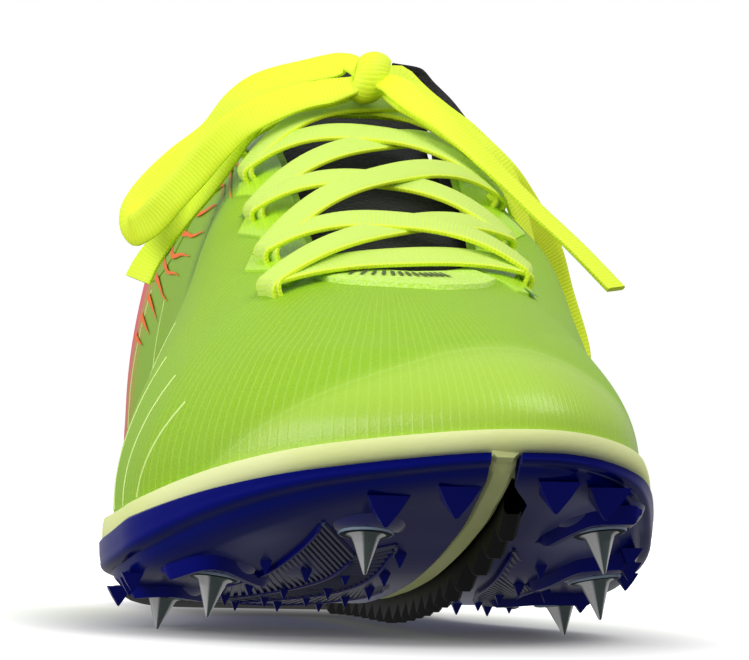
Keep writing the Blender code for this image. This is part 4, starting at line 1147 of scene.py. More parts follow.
def make_tongue():
    """The padded tongue: flattened ovals across it, in a row along the foot.

    An oval's middle is 3.4 mm under the tongue's height. From there it falls with the square of the share
    of the way across, 6.8 mm in all. It is 2 mm thick, and thinner at the first and last two ovals."""
    ends = (TONGUE[0][0], TONGUE[-1][0])
    shares = np.linspace(*ends, 61)
    height = read(TONGUE, 1, shares)
    half = read(TONGUE, 2, shares) * np.interp(shares, (0.40, 0.46), (1.0, TONGUE_SPREAD))
    middle = middle_x(foot_y(shares)) + np.interp(shares, ends, (0.0030, 0.0010))
    around = np.linspace(0, FULL_TURN, 48, endpoint=False)
    q = np.cos(around)
    blunt = np.sign(np.sin(around)) * np.abs(np.sin(around)) ** 0.6
    fade = np.minimum(np.arange(61), np.arange(61)[::-1])
    fade = np.clip(fade / 2.0, 0.02, 1.0)
    x = middle[:, None] + half[:, None] * q[None, :]
    y = foot_y(shares)[:, None] - 0.0004 * blunt[None, :] * fade[:, None]
    z = height[:, None] - 0.0034 - 0.0068 * q[None, :] ** 2 + 0.0010 * blunt[None, :] * fade[:, None]
    points = np.stack([x, np.broadcast_to(y, x.shape), z], axis=2)
    chart = net(np.linspace(0, 1, 61), np.linspace(0, 1, 49))
    cloth = Surface("tongue_cloth", 0.85)
    weave = cloth.cells(900.0)
    cloth.base(weave.ramp(0.0, 0.8).mix(tone(6, 8, 6), tone(20, 26, 18))).bump(weave, 0.0003)
    made = Shape().grid(points, chart, (False, True))
    return made.piece("tongue_pad", cloth.material, "black_lining", "tongue")


def make_collar_flap():
    """The padded corner of the collar that stands up on the inner side, behind the bow.

    A sheet ruled from its foot to its edge, with a rounded cross-section whose half depth is the sine of
    the share of the way across."""
    t = np.linspace(0, 1, 41)
    foot = np.stack([follow(FLAP, i, t) for i in (0, 1, 2)], axis=1)
    edge = np.stack([follow(FLAP, i, t) for i in (3, 4, 5)], axis=1)
    foot[:, 1] = behind_toe(foot[:, 1])
    edge[:, 1] = behind_toe(edge[:, 1])
    around = np.linspace(0, FULL_TURN, 24, endpoint=False)
    q = (0.5 - 0.5 * np.cos(around))[None, :, None]
    ends = np.sin(math.pi * np.clip(t, 0.01, 0.99))[:, None] ** 0.4
    points = foot[:, None] * (1 - q) + edge[:, None] * q
    points[..., 1] += 0.0008 * np.sin(around)[None, :] * ends
    chart = net(t, np.linspace(0, 2, 25))
    cloth = Surface("collar_knit", 0.85)
    along, across = cloth.chart("place")
    out = across.math("PINGPONG", 1.0)
    pink = along.above(0.58) * along.below(0.70) * out.above(0.55)
    grey = along.above(0.70) * out.above(0.25)
    weave = cloth.cells(1100.0)
    black = weave.ramp(0.0, 0.8).mix(tone(8, 8, 10), tone(30, 30, 34))
    cloth.base(grey.mix(pink.mix(black, tone(214, 60, 140)), tone(196, 190, 200))).bump(weave, 0.0002)
    return Shape().grid(points, chart, (False, True)).piece("collar_flap", cloth.material, "black_lining")


def make_midsole(colours):
    """The foam wedge and the ridge that fills the channel.

    The wedge is rings from its underside out, up and in over its bed. Each ring is the outline moved
    inwards, at a share of the way from the foam's underside to its edge. The ridge is an open bar along
    the channel, whose front end rises with the rim of the plate."""
    rings = []
    for inset, share, extra in FOAM_RINGS:
        flat = outline(inset)
        low = level("foam", flat[:, 1])
        high = level("edge", flat[:, 1])
        height = level("bed", flat[:, 1]) if share == 2.0 else low + (high - low) * share + extra
        rings.append(raised(flat, height))
    shape = ring_solid(rings, lambda y: level("foam", y), lambda y: level("bed", y))
    rim = outline(0.0011)
    rim = rim[rim[:, 1] < behind_toe(0.030)]
    rim = rim[np.argsort(rim[:, 0])]
    start = float(np.interp(channel_x(foot_y(0.99)), rim[:, 0], rim[:, 1]))
    ys = start + (float(foot_y(0.405)) - start) * np.linspace(0, 1, 140) ** 2
    left = channel_edge(ys, -1) + GAP
    right = left + CHANNEL_WIDTH - 2 * GAP
    rise = np.interp(ys - start, column(RIDGE_FRONT, 0), column(RIDGE_FRONT, 1))
    low = skin_height(ys, rise) + 0.0009
    high = level("foam", ys) + 0.3 * (level("edge", ys) - level("foam", ys))
    inner = 0.0008
    rows = [
        np.column_stack([left, ys, high]), np.column_stack([left, ys, low + inner]),
        np.column_stack([left + inner, ys, low]), np.column_stack([right - inner, ys, low]),
        np.column_stack([right, ys, low + inner]), np.column_stack([right, ys, high]),
    ]
    ridge = np.stack(rows, axis=1)
    end = ridge[:1].copy()
    end[..., 2] = high[0]
    shape.grid(np.concatenate([end, ridge]))
    foam = Surface("foam", 0.62)
    grain = foam.noise(700.0, 3.0)
    broad = foam.noise(40.0).ramp(0.35, 0.7)
    foam.base(broad.mix(tuple(colours.foam), tone(230, 236, 168))).bump(grain, 0.00006)
    return shape.piece("midsole_foam", foam.material, "pale_foam", "midsole", outward=False)


def make_insole():
    """The insole: rings of the outline moved inwards, each raised by its own height over the foam's bed."""
    rings = []
    for inset, extra in INSOLE_RINGS:
        flat = outline(inset)
        rings.append(raised(flat, level("bed", flat[:, 1]) + extra))
    shape = ring_solid(rings, lambda y: level("bed", y) + GAP, lambda y: level("bed", y) + 0.0030)
    cloth = Surface("insole_cloth", 0.9)
    nap = cloth.noise(1400.0)
    cloth.base(nap.ramp(0.3, 0.7).mix(tone(18, 20, 24), tone(44, 48, 52))).bump(nap, 0.0002)
    return shape.piece("insole_board", cloth.material, "black_lining", "insole", outward=False)


def plate_blank():
    """A thick skin under the whole foam, with a rim of two rounded ledges and a lip at the forefoot.

    Each ring is the outline moved inwards, at a share of the way from the underside to the foam. Shares
    over 1 are the lip's, and a ramp along the foot brings them down to 1 outside the forefoot."""
    rings = []
    for inset, share in PLATE_RINGS:
        flat = outline(inset)
        along = share_at(flat[:, 1])
        lip = np.clip(np.minimum((along - 0.42) / 0.16, (0.96 - along) / 0.14), 0, 1)
        rings.append(raised(flat, skin_height(flat[:, 1], np.where(share > 1, 1 + (share - 1) * lip, share))))
    shape = ring_solid(rings, lambda y: skin_height(y, 0.0), lambda y: skin_height(y, 1.0))
    mesh = mesh_of("plate_blank", np.concatenate(shape.points).tolist(), shape.faces)
    tidy(mesh, True)
    return add_object("plate_blank", mesh)


def finish(made, material, slot, node, sharp=30.0):
    """Gives a cut piece its material, its shading and its place in the part."""
    made.data.materials.clear()
    made.data.materials.append(material)
    made.data.shade_smooth()
    made.data.set_sharp_from_angle(angle=math.radians(sharp))
    return settle(made, slot, node)


def under_plate(x, behind, drop):
    """Points under the plate, from flat places, dropped below its underside."""
    y = behind_toe(behind)
    return np.stack([np.asarray(x, float), y, level("under", y) - drop], axis=-1)


def solids_of_turn(shape, bases, axes, profiles, sides, phase=0.0):
    """Many turned solids: rings of a profile's radii at its distances along each axis."""
    axes = unit(np.asarray(axes, float))
    across = unit(np.cross(axes, np.array([0.0, 1.0, 0.0])))
    other = np.cross(axes, across)
    angle = phase + FULL_TURN * np.arange(sides) / sides
    wheel = across[:, None] * np.cos(angle)[:, None] + other[:, None] * np.sin(angle)[:, None]
    spin = net(np.linspace(0, 1, profiles.shape[1]), np.linspace(0, 1, sides + 1))
    for base, axis, rim, profile in zip(np.asarray(bases, float), axes, wheel, profiles):
        rows = base + axis * profile[:, 0][:, None, None] + rim[None] * profile[:, 1][:, None, None]
        shape.grid(rows, spin, (False, True))
    return shape


def ridges(shape, places, width, height):
    """A rounded ridge that follows the plate's underside through flat places."""
    t = np.linspace(0, 1, 10 * len(places))
    path = under_plate(follow(places, 0, t), follow(places, 1, t), -0.0006)[None]
    down = np.tile(DOWN, (1, len(t), 1))
    profile = ((-1.0, -0.4), (-0.62, 0.75), (-0.40, 1.0), (0.40, 1.0), (0.62, 0.75), (1.0, -0.4))
    ends = np.clip(np.minimum(t, 1 - t) * 12, 0.25, 1)[None]
    return shape.sweep(path, down, ends * width / 2, ends * (height + 0.0006), profile)


def make_plates(colours):
    """Both halves of the sole plate, their relief, the tread bars and the pad under the heel.

    The lugs, teeth and wedges are four-sided spikes from one profile, the fins and ribs are ridges, and
    the bars run straight between two neighbouring ribs at even shares along them."""
    skin = plate_look(colours)
    relief = Surface("plate_relief", 0.3, specular_ior_level=0.16).base(tuple(colours.plate)).material
    bars = Surface("tread_bars", 0.35).base(tone(60, 66, 96)).material
    rubber = Surface("heel_rubber", 0.6).base(tone(20, 20, 24)).material
    blank = plate_blank()
    rear = float(foot_y(PLATE_REAR))
    front = float(foot_y(1.03))
    ys = np.linspace(front, rear, 60)
    for name, side in (("plate_lateral", -1), ("plate_medial", 1)):
        corners = [(float(x), float(y)) for x, y in zip(channel_edge(ys, side), ys)]
        corners += [(side * 0.08, rear), (side * 0.08, front)]
        half = keep_inside(mesh_copy(blank, name + "_skin"), prism("cutter", corners, -0.01, 0.06))
        finish(half, skin, "blue_plate", name)
        shape = Shape()
        for places in FINS[side]:
            ridges(shape, places, *FIN_SIZE)
        for places in RIBS[side]:
            ridges(shape, places, *RIB_SIZE)
        for table, (wide, high) in ((LUGS, LUG_SIZE), (TEETH, TOOTH_SIZE), (WEDGES, WEDGE_SIZE)):
            table = table[side]
            places = under_plate(column(table, 0), column(table, 1), -SUNK)
            rows = np.tile(POINTED * np.array([high + SUNK, wide]), (len(table), 1, 1))
            solids_of_turn(shape, places, np.tile(DOWN, (len(table), 1)), rows, 4, math.pi / 4)
        shape.piece(name + "_relief", relief, "blue_plate", sharp=28.0)
        rungs = Shape()
        for first, second in zip(RIBS[side][:-1], RIBS[side][1:]):
            t = np.linspace(0.02, 0.98, 26)
            edges = [under_plate(follow(rib, 0, t), follow(rib, 1, t), 0.0) for rib in (first, second)]
            paths = np.stack(edges, axis=1)
            down = np.tile(DOWN, (*paths.shape[:2], 1))
            flat = np.full(paths.shape[:2], 0.00042)
            rungs.sweep(paths, down, flat, flat * 1.1, ((-1, -1), (-0.7, 1), (0.7, 1), (1, -1)))
        rungs.piece(name + "_bars", bars, "black_rubber", sharp=28.0)
    corners = [(-0.08, rear + GAP), (0.08, rear + GAP), (0.08, 0.06), (-0.08, 0.06)]
    pad = keep_inside(mesh_copy(blank, "heel_skin"), prism("cutter", corners, -0.01, 0.06))
    bpy.data.objects.remove(blank, do_unlink=True)
    return finish(pad, rubber, "black_rubber", "heel_pad")


def make_strip():
    """The toothed rubber strip: a bar down the channel whose drop is a saw-tooth of the distance."""
    rear = float(foot_y(0.400))
    front = float(foot_y(0.937))
    count = int((rear - front) / STRIP_PITCH)
    t = np.linspace(0, count, 12 * count + 1)
    ys = front + (rear - front) * t / count
    phase = t % 1.0
    drop = STRIP_DROP + STRIP_TOOTH * np.where(phase < 0.62, phase / 0.62, (1 - phase) / 0.38)
    centre = channel_edge(ys, 1) - 1.5 * GAP - STRIP_WIDTH / 2
    low = np.maximum(level("under", ys) - drop, 0.0006)
    high = level("foam", ys) - GAP
    half = STRIP_WIDTH / 2
    rows = [
        np.column_stack([centre - half, ys, high]), np.column_stack([centre - half * 0.95, ys, low + 0.0006]),
        np.column_stack([centre - half * 0.6, ys, low]), np.column_stack([centre + half * 0.6, ys, low]),
        np.column_stack([centre + half * 0.95, ys, low + 0.0006]), np.column_stack([centre + half, ys, high]),
    ]
    rubber = Surface("strip_rubber", 0.5, specular_ior_level=0.3).base(tone(6, 7, 10)).material
    shape = Shape().grid(np.stack(rows, axis=1), None, (False, True))
    return shape.piece("channel_strip", rubber, "black_rubber", "spine_strip", sharp=35.0)


def spike_place(name, x, behind, out, forward):
    """Where a spike stands under the plate, and the way that it points."""
    side = -1 if name.startswith("lateral") else 1
    way = unit(np.array([side * math.tan(math.radians(out)), -math.tan(math.radians(forward)), -1.0]))
    return under_plate(x, behind, 0.0004), way


def make_spikes(colours):
    """Steel pins turned from a profile, with painted highlight streaks, and the domed seats that they stand
    on.
    """
    dome = Surface("seat_dome", 0.16, coat_weight=0.8, coat_roughness=0.05)
    dome = dome.base(tuple(colours.plate)).material
    disc = Surface("seat_disc", 0.5, specular_ior_level=0.2).base(tone(2, 22, 34)).material
    rim = Surface("seat_rim", 0.2).base(tone(150, 170, 190)).material
    look = Surface("polished_steel", 0.16, metallic=0.85)
    # White streaks three times round each pin: painted highlights on the steel.
    highlight_streaks = (look.chart("place")[1] * (3 * FULL_TURN) + 0.6).math("SINE")
    steel = look.base(highlight_streaks.ramp(-0.4, 0.5).mix(tone(104, 116, 116), tone(255, 255, 255))).material
    bases, ways = zip(*[spike_place(*row) for row in SPIKES])
    bases = np.array(bases)
    ways = np.array(ways)
    count = len(SPIKES)
    r = SEAT_RADIUS
    domes = np.array([
        [-0.0056, r + 0.0028], [-0.0034, r + 0.0018], [-0.0016, r + 0.0007], [-0.0006, r - 0.0004],
        [-0.0001, r - 0.0014], [0.0001, r - 0.0020], [0.0001, 0.0],
    ])
    discs = np.array([[-0.0006, r - 0.0024], [0.0004, r - 0.0024], [0.0006, r - 0.0027], [0.0006, 0.0]])
    rims = np.array([
        [-0.0002, r - 0.0020], [0.0003, r - 0.0020], [0.0005, r - 0.0022], [0.0003, r - 0.0024],
        [-0.0002, r - 0.0024],
    ])
    seats = (("seat_domes", domes, dome), ("seat_discs", discs, disc), ("seat_rims", rims, rim))
    for name, profile, look in seats:
        shape = solids_of_turn(Shape(), bases, ways, np.tile(profile, (count, 1, 1)), 64)
        shape.piece(name, look, "blue_plate", sharp=50.0)
    lengths = np.array([b[2] / -w[2] if row[0].endswith("rear") else SPIKE_LENGTH
                        for row, b, w in zip(SPIKES, bases, ways)])
    profile = np.array([[0.00, 0.0036], [0.07, 0.0036], [0.09, 0.0034], [0.12, 0.0028], [0.16, 0.0025],
                        [0.30, 0.0021], [0.50, 0.00155], [0.70, 0.0010], [0.88, 0.00055], [0.96, 0.00034],
                        [0.99, 0.00018], [1.0, 0.0]])
    for row, base, way, length in zip(SPIKES, bases, ways, lengths):
        shape = solids_of_turn(Shape(), base[None], way[None], (profile * np.array([length, 1.0]))[None], 48)
        shape.piece("pin_" + row[0], steel, "spike_steel", "spike_" + row[0], sharp=60.0)


# A flat lace's cross-section, as shares of its half width and half thickness
FLAT_OVAL = (
    (-1.0, 0.0), (-0.97, 0.55), (-0.86, 0.95), (-0.5, 1.0),
    (0.0, 1.0), (0.5, 1.0), (0.86, 0.95), (0.97, 0.55),
    (1.0, 0.0), (0.97, -0.55), (0.86, -0.95), (0.5, -1.0),
    (0.0, -1.0), (-0.5, -1.0), (-0.86, -0.95), (-0.97, -0.55),
)


def eyelet(index, side, lift):
    """A place at an eyelet, lifted off the upper, and the upper's normal there."""
    share, up = EYELETS[index][:2] if side < 0 else EYELETS[index][2:]
    points, normals = on_skin(round_place(share, side), up, lift)
    return points, normals


def lace_run(first, last, rise, lift):
    """A lace over the tongue between two eyelets, whose ends turn down through the wall.

    With t from end to end, the height of the arch is the rise times 1 - |2t - 1| to the power 2.6, and
    the face turns from one eyelet's normal by the lace's own to the other's."""
    start, start_normal = eyelet(*first, lift)
    stop, end_normal = eyelet(*last, lift)
    t = 0.5 - 0.5 * np.cos(np.linspace(0, math.pi, 61))[:, None]
    path = start + (stop - start) * t + np.array(RISE_WAY) * rise * (1 - np.abs(2 * t - 1) ** 2.6)
    middle = np.array(LACE_FACE)
    normals = unit(start_normal * (1 - t) ** 2 + 2.6 * middle * t * (1 - t) + end_normal * t ** 2)
    bend = np.linspace(0, math.pi / 2, 9)[1:, None]
    outs = []
    for end, before in ((0, 1), (-1, -2)):
        point = path[end]
        normal = normals[end]
        way = point - path[before]
        way = unit(way - normal * (way @ normal))
        arc = point + way * TURN_RADIUS * np.sin(bend) - normal * TURN_RADIUS * (1 - np.cos(bend))
        arc = np.concatenate([arc, arc[-1:] - normal * 0.0012, arc[-1:] - normal * 0.0024])
        face = normal * np.cos(bend) + way * np.sin(bend)
        outs.append((arc, np.concatenate([face, face[-1:], face[-1:]])))
    path = np.concatenate([outs[0][0][::-1], path, outs[1][0]])
    return path, np.concatenate([outs[0][1][::-1], normals, outs[1][1]])


def make_crossings(sizes, colours):
    """The bar at the toe end, the crossings and the top bar of the lace."""
    shape = Shape()
    runs = [lace_run((0, -1), (0, 1), SCENE_RISES[0][0], BAR_LIFT)]
    for i, (over_rise, under_rise) in enumerate(SCENE_RISES[1:]):
        over = -1 if i % 2 else 1
        runs.append(lace_run((i, over), (i + 1, -over), over_rise, OVER_LIFT))
        runs.append(lace_run((i, -over), (i + 1, over), under_rise, UNDER_LIFT))
    runs.append(lace_run((4, -1), (4, 1), TOP_RISE, TOP_LIFT))
    for path, normals in runs:
        wide = np.full((1, len(path)), sizes.lace_width / 2)
        shape.sweep(path[None], normals[None], wide, wide * 0 + sizes.lace_thickness / 2, FLAT_OVAL)
    look = lace_look("crossing_lace", tuple(colours.lace_pale), tuple(colours.lace))
    return shape.piece("lace_runs", look, "yellow_lace", "lace_crossings")


def strand_path(places, steps=160):
    """A smooth path through a strand's places, and the way its face looks along it.

    The places are x, distance behind the toe tip and height, then degrees turned towards +X and tipped up."""
    points = np.array([(x, behind_toe(behind), z) for x, behind, z, _, _ in places])
    along = np.concatenate([[0], np.cumsum(np.linalg.norm(np.diff(points, axis=0), axis=1))])
    at = np.linspace(0, along[-1], steps)
    path = np.stack([smooth(along, points[:, i], at) for i in range(3)], axis=1)
    turned = np.radians(smooth(along, column(places, 3), at))
    tipped = np.radians(smooth(along, column(places, 4), at))
    level_part = np.cos(tipped)
    return path, np.stack([np.sin(turned) * level_part, -np.cos(turned) * level_part, np.sin(tipped)], axis=1)


def make_bow(sizes, colours):
    """The bow: two loops and two ends as flat cords, and the knot that they come out of.

    A cord gathers to GATHER of its width where it goes into the knot. The knot is one turn of lace: a
    ring round the knot's middle, with an oval cross-section and a bulge that varies with the angle."""
    look = lace_look("bow_lace", tuple(colours.lace), tuple(colours.lace))
    knot = np.array([KNOT[0], behind_toe(KNOT[1]), KNOT[2]])
    for name, far_end, places in STRANDS:
        hidden = tuple(0.75 * KNOT[i] + 0.25 * places[0][i] for i in range(3))
        run = [(*hidden, *places[0][3:]), *places]
        if far_end == "object":
            hidden = tuple(0.75 * KNOT[i] + 0.25 * places[-1][i] for i in range(3))
            run.append((*hidden, *places[-1][3:]))
        path, towards = strand_path(run)
        along = unit(np.gradient(path, axis=0))
        towards = np.cross(unit(np.cross(along, towards)), along)
        gone = np.concatenate([[0], np.cumsum(np.linalg.norm(np.diff(path, axis=0), axis=1))])
        free = gone[-1] - gone if far_end == "object" else gone[-1]
        gather = GATHER + (1 - GATHER) * np.clip((np.minimum(gone, free) - 0.002) / 0.006, 0, 1)
        wide = gather[None] * sizes.lace_width / 2
        deep = np.full((1, len(path)), sizes.lace_thickness / 2)
        shape = Shape().sweep(path[None], towards[None], wide, deep, FLAT_OVAL)
        made = shape.piece(name + "_cord", look, "yellow_lace", name)
    a = np.linspace(0, FULL_TURN, 65)[:, None]
    q = np.linspace(0, FULL_TURN, 32, endpoint=False)[None, :]
    bulge = 0.90 + 0.05 * np.cos(2 * a) + 0.05 * np.cos(3 * a + 1)
    swell = 0.0010 * np.sin(q) - 0.0008 * np.cos(q) ** 2
    grid = np.stack([
        knot[0] + 0.0010 * np.sin(a) + KNOT_RADII[0] * np.cos(q),
        knot[1] + (KNOT_RADII[1] * bulge + swell) * np.cos(a),
        knot[2] + (KNOT_RADII[2] * bulge + swell) * np.sin(a),
    ], axis=-1)
    shape = Shape().grid(grid, net(np.linspace(0, 0.026, 65), np.linspace(0, 1, 33)), (False, True))
    return shape.piece("lace_tie", look, "yellow_lace", "lace_knot", weld=True)


def skin_look(sizes, colours):
    """Knitted mesh: bright threads over darker pores, a clear film over the toe, a tint at the heel."""
    look = Surface("mesh_skin", 0.5, specular_ior_level=0.3, coat_weight=0.04, coat_roughness=0.3)
    around, up = look.chart("place")
    pores = look.cells(2400.0)
    broad = look.noise(60.0)
    rows = (around * (GIRTH / sizes.mesh_pitch)).part()
    thread = abs(rows - 0.5).ramp(0.30, 0.50)
    deep = pores.ramp(0.15, 0.75).mix(tone(134, 182, 24), tuple(colours.mesh))
    green = (thread * 0.22).mix(deep, tone(190, 226, 106))
    green = (broad.ramp(0.35, 0.7) * 0.25).mix(green, tone(140, 192, 46))
    middle = (around - 0.500) / 0.090
    edge = 0.41 - middle * middle * 0.28
    film = (edge - up).ramp(-0.060, 0.060)
    green = (film * 0.40).mix(green, tuple(colours.film))
    seam = abs(edge - up).ramp(0.010, 0.004)
    green = (seam * 0.08).mix(green, tone(206, 238, 140))
    near_heel = abs(around - 0.5).ramp(0.348, 0.385)
    green = near_heel.mix(green, tuple(colours.heel))
    inside = up.above(1.025)
    look.base(inside.mix(green, tone(30, 32, 32)))
    look.rough(film.math("MULTIPLY", -0.22) + 0.48 + inside * 0.3)
    return look.bump(pores * (1.0 - film * 0.6) + thread * 0.5, 0.00007).material


def overlay_look(colours):
    """Pressed film with fine raised ribs."""
    look = Surface("eyestay_film", 0.36, coat_weight=0.2)
    around, up = look.chart("place")
    ribs = abs((up * 60.0).part() - 0.5)
    look.base((ribs * 0.5).mix(tuple(colours.overlay), tone(150, 204, 40)))
    return look.bump(ribs, 0.00012).material


def plate_look(colours):
    """The plate's skin: a deep blue rim, a dark face that is paler further back, and a painted reflection of
    the floor at the toe's sides.
    """
    look = Surface("plate_skin", 0.24, specular_ior_level=0.14, coat_weight=0.04, coat_roughness=0.08)
    place = look.split(look.objects())
    back = (place[1] - abs(place[0]) * 0.5).ramp(float(behind_toe(0.045)), float(behind_toe(0.100)))
    normal = look.split(look.node("ShaderNodeNewGeometry", {}, {}, 1))
    # Paler on the downward faces at the toe's sides: a painted reflection of the floor.
    front = place[1].ramp(float(behind_toe(0.048)), float(behind_toe(0.026))) * (-normal[2]).ramp(0.88, 0.96)
    front = front * abs(place[0]).ramp(0.017, 0.031)
    face = (back * 0.60).mix(tone(0, 14, 104), tuple(colours.plate_pale))
    face = (front * 0.75).mix(face, tone(168, 172, 206))
    rim = (-normal[2]).ramp(0.55, 0.30)
    look.base(rim.mix(face, tuple(colours.plate)))
    return look.bump(look.noise(900.0), 0.00003).material


def lace_look(name, face, edge):
    """Flat weave: slanted cross ribs along the lace, the face and edges in their own colours."""
    look = Surface(name, 0.6)
    along, across = look.chart("place")
    wide = abs((across - 0.25).math("PINGPONG", 0.5))
    ribs = abs(((along / RIB_PITCH) + wide * 2.0).part() - 0.5)
    fine = look.noise(2600.0)
    tint = wide.ramp(0.10, 0.20).mix(face, edge)
    shade = (ribs.ramp(0.25, 0.5) * 0.5).mix(tint, tuple(0.80 * c for c in edge))
    look.base(shade)
    return look.bump(ribs * -1.0 + fine * 0.4, 0.00009).material


# The painted shadow on the floor under the shoe, a dark oval, the point that the lights look at, and the
# camera's angles in degrees with the point that it looks at
SHADE_RADII = (0.085, 0.200)
SHADE_MIDDLE_Y = -0.14
LIGHTS_AIM = (0.0, -0.12, 0.05)
CAMERA_TURNS = (8.95, 2.47, 1.2)
CAMERA_AIM = (-0.0026, 0.060, 0.0541)


def make_stage(settings):
    """A glowing pale floor with a painted shadow under the shoe, a bright surround, two soft lights, the view
    transform.
    """
    mesh = mesh_of("floor", [(-4, -3, 0), (4, -3, 0), (4, 5, 0), (-4, 5, 0)], [(0, 1, 2, 3)])
    look = Surface("floor_card", 0.9)
    place = look.split(look.objects())
    # Darker and dimmer in an oval round the shoe: a painted shadow; outside it the floor glows white.
    across = place[0] / SHADE_RADII[0]
    along = (place[1] - SHADE_MIDDLE_Y) / SHADE_RADII[1]
    away = (across * across + along * along).math("SQRT")
    look.base(away.ramp(0.8, 2.0).mix((0.50, 0.50, 0.50), (0.9, 0.9, 0.9)))
    glow_with_painted_shadow = away.ramp(0.35, 1.10).mix((0.05, 0.05, 0.05), (1.0, 1.0, 1.0))
    look.feed(look.shader.inputs["Emission Color"], glow_with_painted_shadow)
    look.shader.inputs["Emission Strength"].default_value = 1.0
    look.shader.inputs["Specular IOR Level"].default_value = 0.0
    mesh.materials.append(look.material)
    floor = add_object("floor", mesh)
    floor.visible_glossy = False
    floor.visible_diffuse = False
    world = bpy.data.worlds.new("surround")
    bpy.context.scene.world = world
    world.use_nodes = True
    nodes = world.node_tree.nodes
    link = world.node_tree.links.new
    seen = nodes.new("ShaderNodeLightPath")
    mixer = nodes.new("ShaderNodeMixShader")
    bright = nodes.new("ShaderNodeBackground")
    bright.inputs["Color"].default_value = (1, 1, 1, 1)
    soft = nodes["Background"]
    soft.inputs["Strength"].default_value = settings.ambient
    where = nodes.new("ShaderNodeTexCoord")
    split = nodes.new("ShaderNodeSeparateXYZ")
    shade = nodes.new("ShaderNodeMapRange")
    shade.inputs["From Min"].default_value = -0.35
    shade.inputs["From Max"].default_value = 0.30
    shade.inputs["To Min"].default_value = 0.34
    link(where.outputs["Generated"], split.inputs[0])
    link(split.outputs[2], shade.inputs["Value"])
    link(shade.outputs[0], soft.inputs["Color"])
    link(seen.outputs["Is Camera Ray"], mixer.inputs[0])
    link(soft.outputs[0], mixer.inputs[1])
    link(bright.outputs[0], mixer.inputs[2])
    link(mixer.outputs[0], nodes["World Output"].inputs["Surface"])
    for name, power, size, spot in (
        ("key", settings.key, 0.5, (0.31, -0.46, 0.74)),
        ("fill", settings.fill, 0.6, (-0.80, -0.50, 0.30)),
    ):
        light = bpy.data.lights.new(name, "AREA")
        light.energy = power
        light.size = size
        lamp = add_object(name, light)
        lamp.matrix_world = facing(np.array(spot), np.array(LIGHTS_AIM) - np.array(spot), 0.0)
    bpy.context.scene.view_settings.view_transform = "Standard"


def facing(spot, way, roll):
    """The matrix of a camera or light at a spot that looks along a way, rolled by an angle."""
    way = unit(np.asarray(way, float))
    right = unit(np.cross(way, (0.0, 0.0, 1.0)))
    above = np.cross(right, way)
    rows = np.eye(4)
    rows[:3, 0] = right * math.cos(roll) + above * math.sin(roll)
    rows[:3, 1] = above * math.cos(roll) - right * math.sin(roll)
    rows[:3, 2] = -way
    rows[:3, 3] = spot
    return Matrix(rows.tolist())


def make_camera(settings):
    """The photograph's view of the toe, from low down."""
    yaw, pitch, roll = (math.radians(a) for a in CAMERA_TURNS)
    way = np.array([math.sin(yaw) * math.cos(pitch), math.cos(yaw) * math.cos(pitch), math.sin(pitch)])
    target = np.array([CAMERA_AIM[0], behind_toe(CAMERA_AIM[1]), CAMERA_AIM[2]])
    camera = bpy.data.cameras.new("photo_view")
    camera.lens = settings.lens
    camera.sensor_width = 36.0
    camera.clip_start = 0.02
    made = add_object("photo_view", camera)
    made.matrix_world = facing(target - way * settings.distance, way, roll)
    bpy.context.scene.camera = made


class SPIKE_OT_stage(bpy.types.Operator):
    """Add the camera, floor and lights"""

    bl_idname = "spike.stage"
    bl_label = "Stage"

    def execute(self, context):
        make_camera(context.scene.spike_stage)
        make_stage(context.scene.spike_stage)
        return {"FINISHED"}


class SPIKE_OT_lace(bpy.types.Operator):
    """Add the lace: the bow's cords and the crossings"""

    bl_idname = "spike.lace"
    bl_label = "Lace"

    def execute(self, context):
        make_bow(context.scene.spike_sizes, context.scene.spike_colours)
        make_crossings(context.scene.spike_sizes, context.scene.spike_colours)
        return {"FINISHED"}


class SPIKE_OT_upper(bpy.types.Operator):
    """Add the upper, its print and its threads"""

    bl_idname = "spike.upper"
    bl_label = "Upper"

    def execute(self, context):
        colours = context.scene.spike_colours
        make_upper(context.scene.spike_sizes, colours)
        make_dashes(colours)
        make_threads(colours)
        return {"FINISHED"}


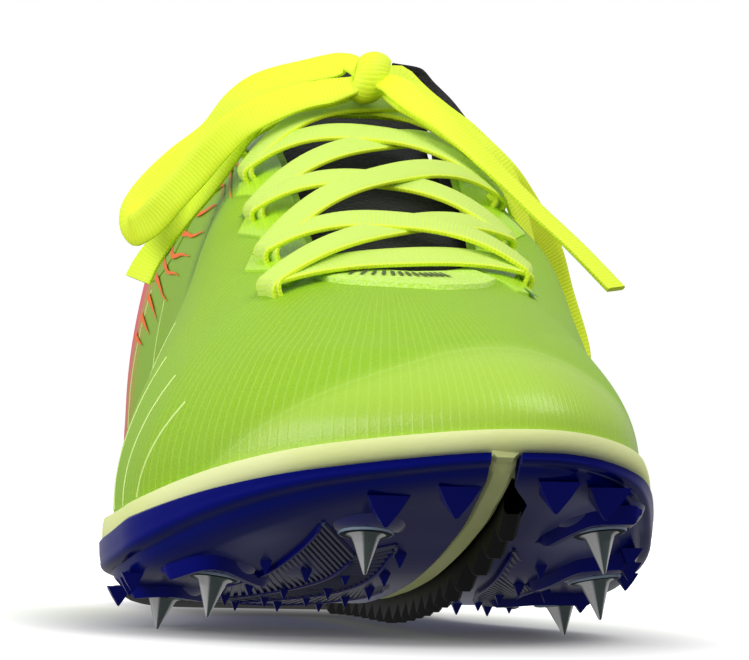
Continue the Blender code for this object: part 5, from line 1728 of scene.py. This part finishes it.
class SPIKE_OT_overlays(bpy.types.Operator):
    """Add the eyestays, the stitched band and the collar edge"""

    bl_idname = "spike.overlays"
    bl_label = "Overlays"

    def execute(self, context):
        make_overlays(context.scene.spike_colours)
        return {"FINISHED"}


class SPIKE_OT_linings(bpy.types.Operator):
    """Add the tongue, the collar's corner and the insole"""

    bl_idname = "spike.linings"
    bl_label = "Linings"

    def execute(self, context):
        make_tongue()
        make_collar_flap()
        make_insole()
        return {"FINISHED"}


class SPIKE_OT_sole(bpy.types.Operator):
    """Add the midsole, the sole plate, the strip and the spikes"""

    bl_idname = "spike.sole"
    bl_label = "Sole"

    def execute(self, context):
        colours = context.scene.spike_colours
        make_midsole(colours)
        make_plates(colours)
        make_strip()
        make_spikes(colours)
        return {"FINISHED"}


class SPIKE_PT_panel(bpy.types.Panel):
    """The settings and the buttons"""

    bl_label = "Spike Shoe"
    bl_idname = "SPIKE_PT_panel"
    bl_space_type = "VIEW_3D"
    bl_region_type = "UI"
    bl_category = "Spike Shoe"

    def draw(self, context):
        for settings in (context.scene.spike_stage, context.scene.spike_sizes, context.scene.spike_colours):
            box = self.layout.box()
            for name in settings.__annotations__:
                box.prop(settings, name)
        for step in STEPS:
            self.layout.operator(step.bl_idname)


STEPS = (SPIKE_OT_stage, SPIKE_OT_lace, SPIKE_OT_upper, SPIKE_OT_overlays, SPIKE_OT_linings, SPIKE_OT_sole)
SETTINGS = (("spike_stage", SpikeStage), ("spike_sizes", SpikeSizes), ("spike_colours", SpikeColours))


def register():
    """Adds the settings, the operators and the panel."""
    for name, group in SETTINGS:
        bpy.utils.register_class(group)
        setattr(bpy.types.Scene, name, PointerProperty(type=group))
    for step in (*STEPS, SPIKE_PT_panel):
        bpy.utils.register_class(step)


def unregister():
    """Takes them away again."""
    for step in (SPIKE_PT_panel, *STEPS[::-1]):
        bpy.utils.unregister_class(step)
    for name, group in SETTINGS[::-1]:
        delattr(bpy.types.Scene, name)
        bpy.utils.unregister_class(group)


def main():
    """Builds everything."""
    register()
    for step in STEPS:
        category, name = step.bl_idname.split(".")
        getattr(getattr(bpy.ops, category), name)()


if __name__ == "__main__":
    main()
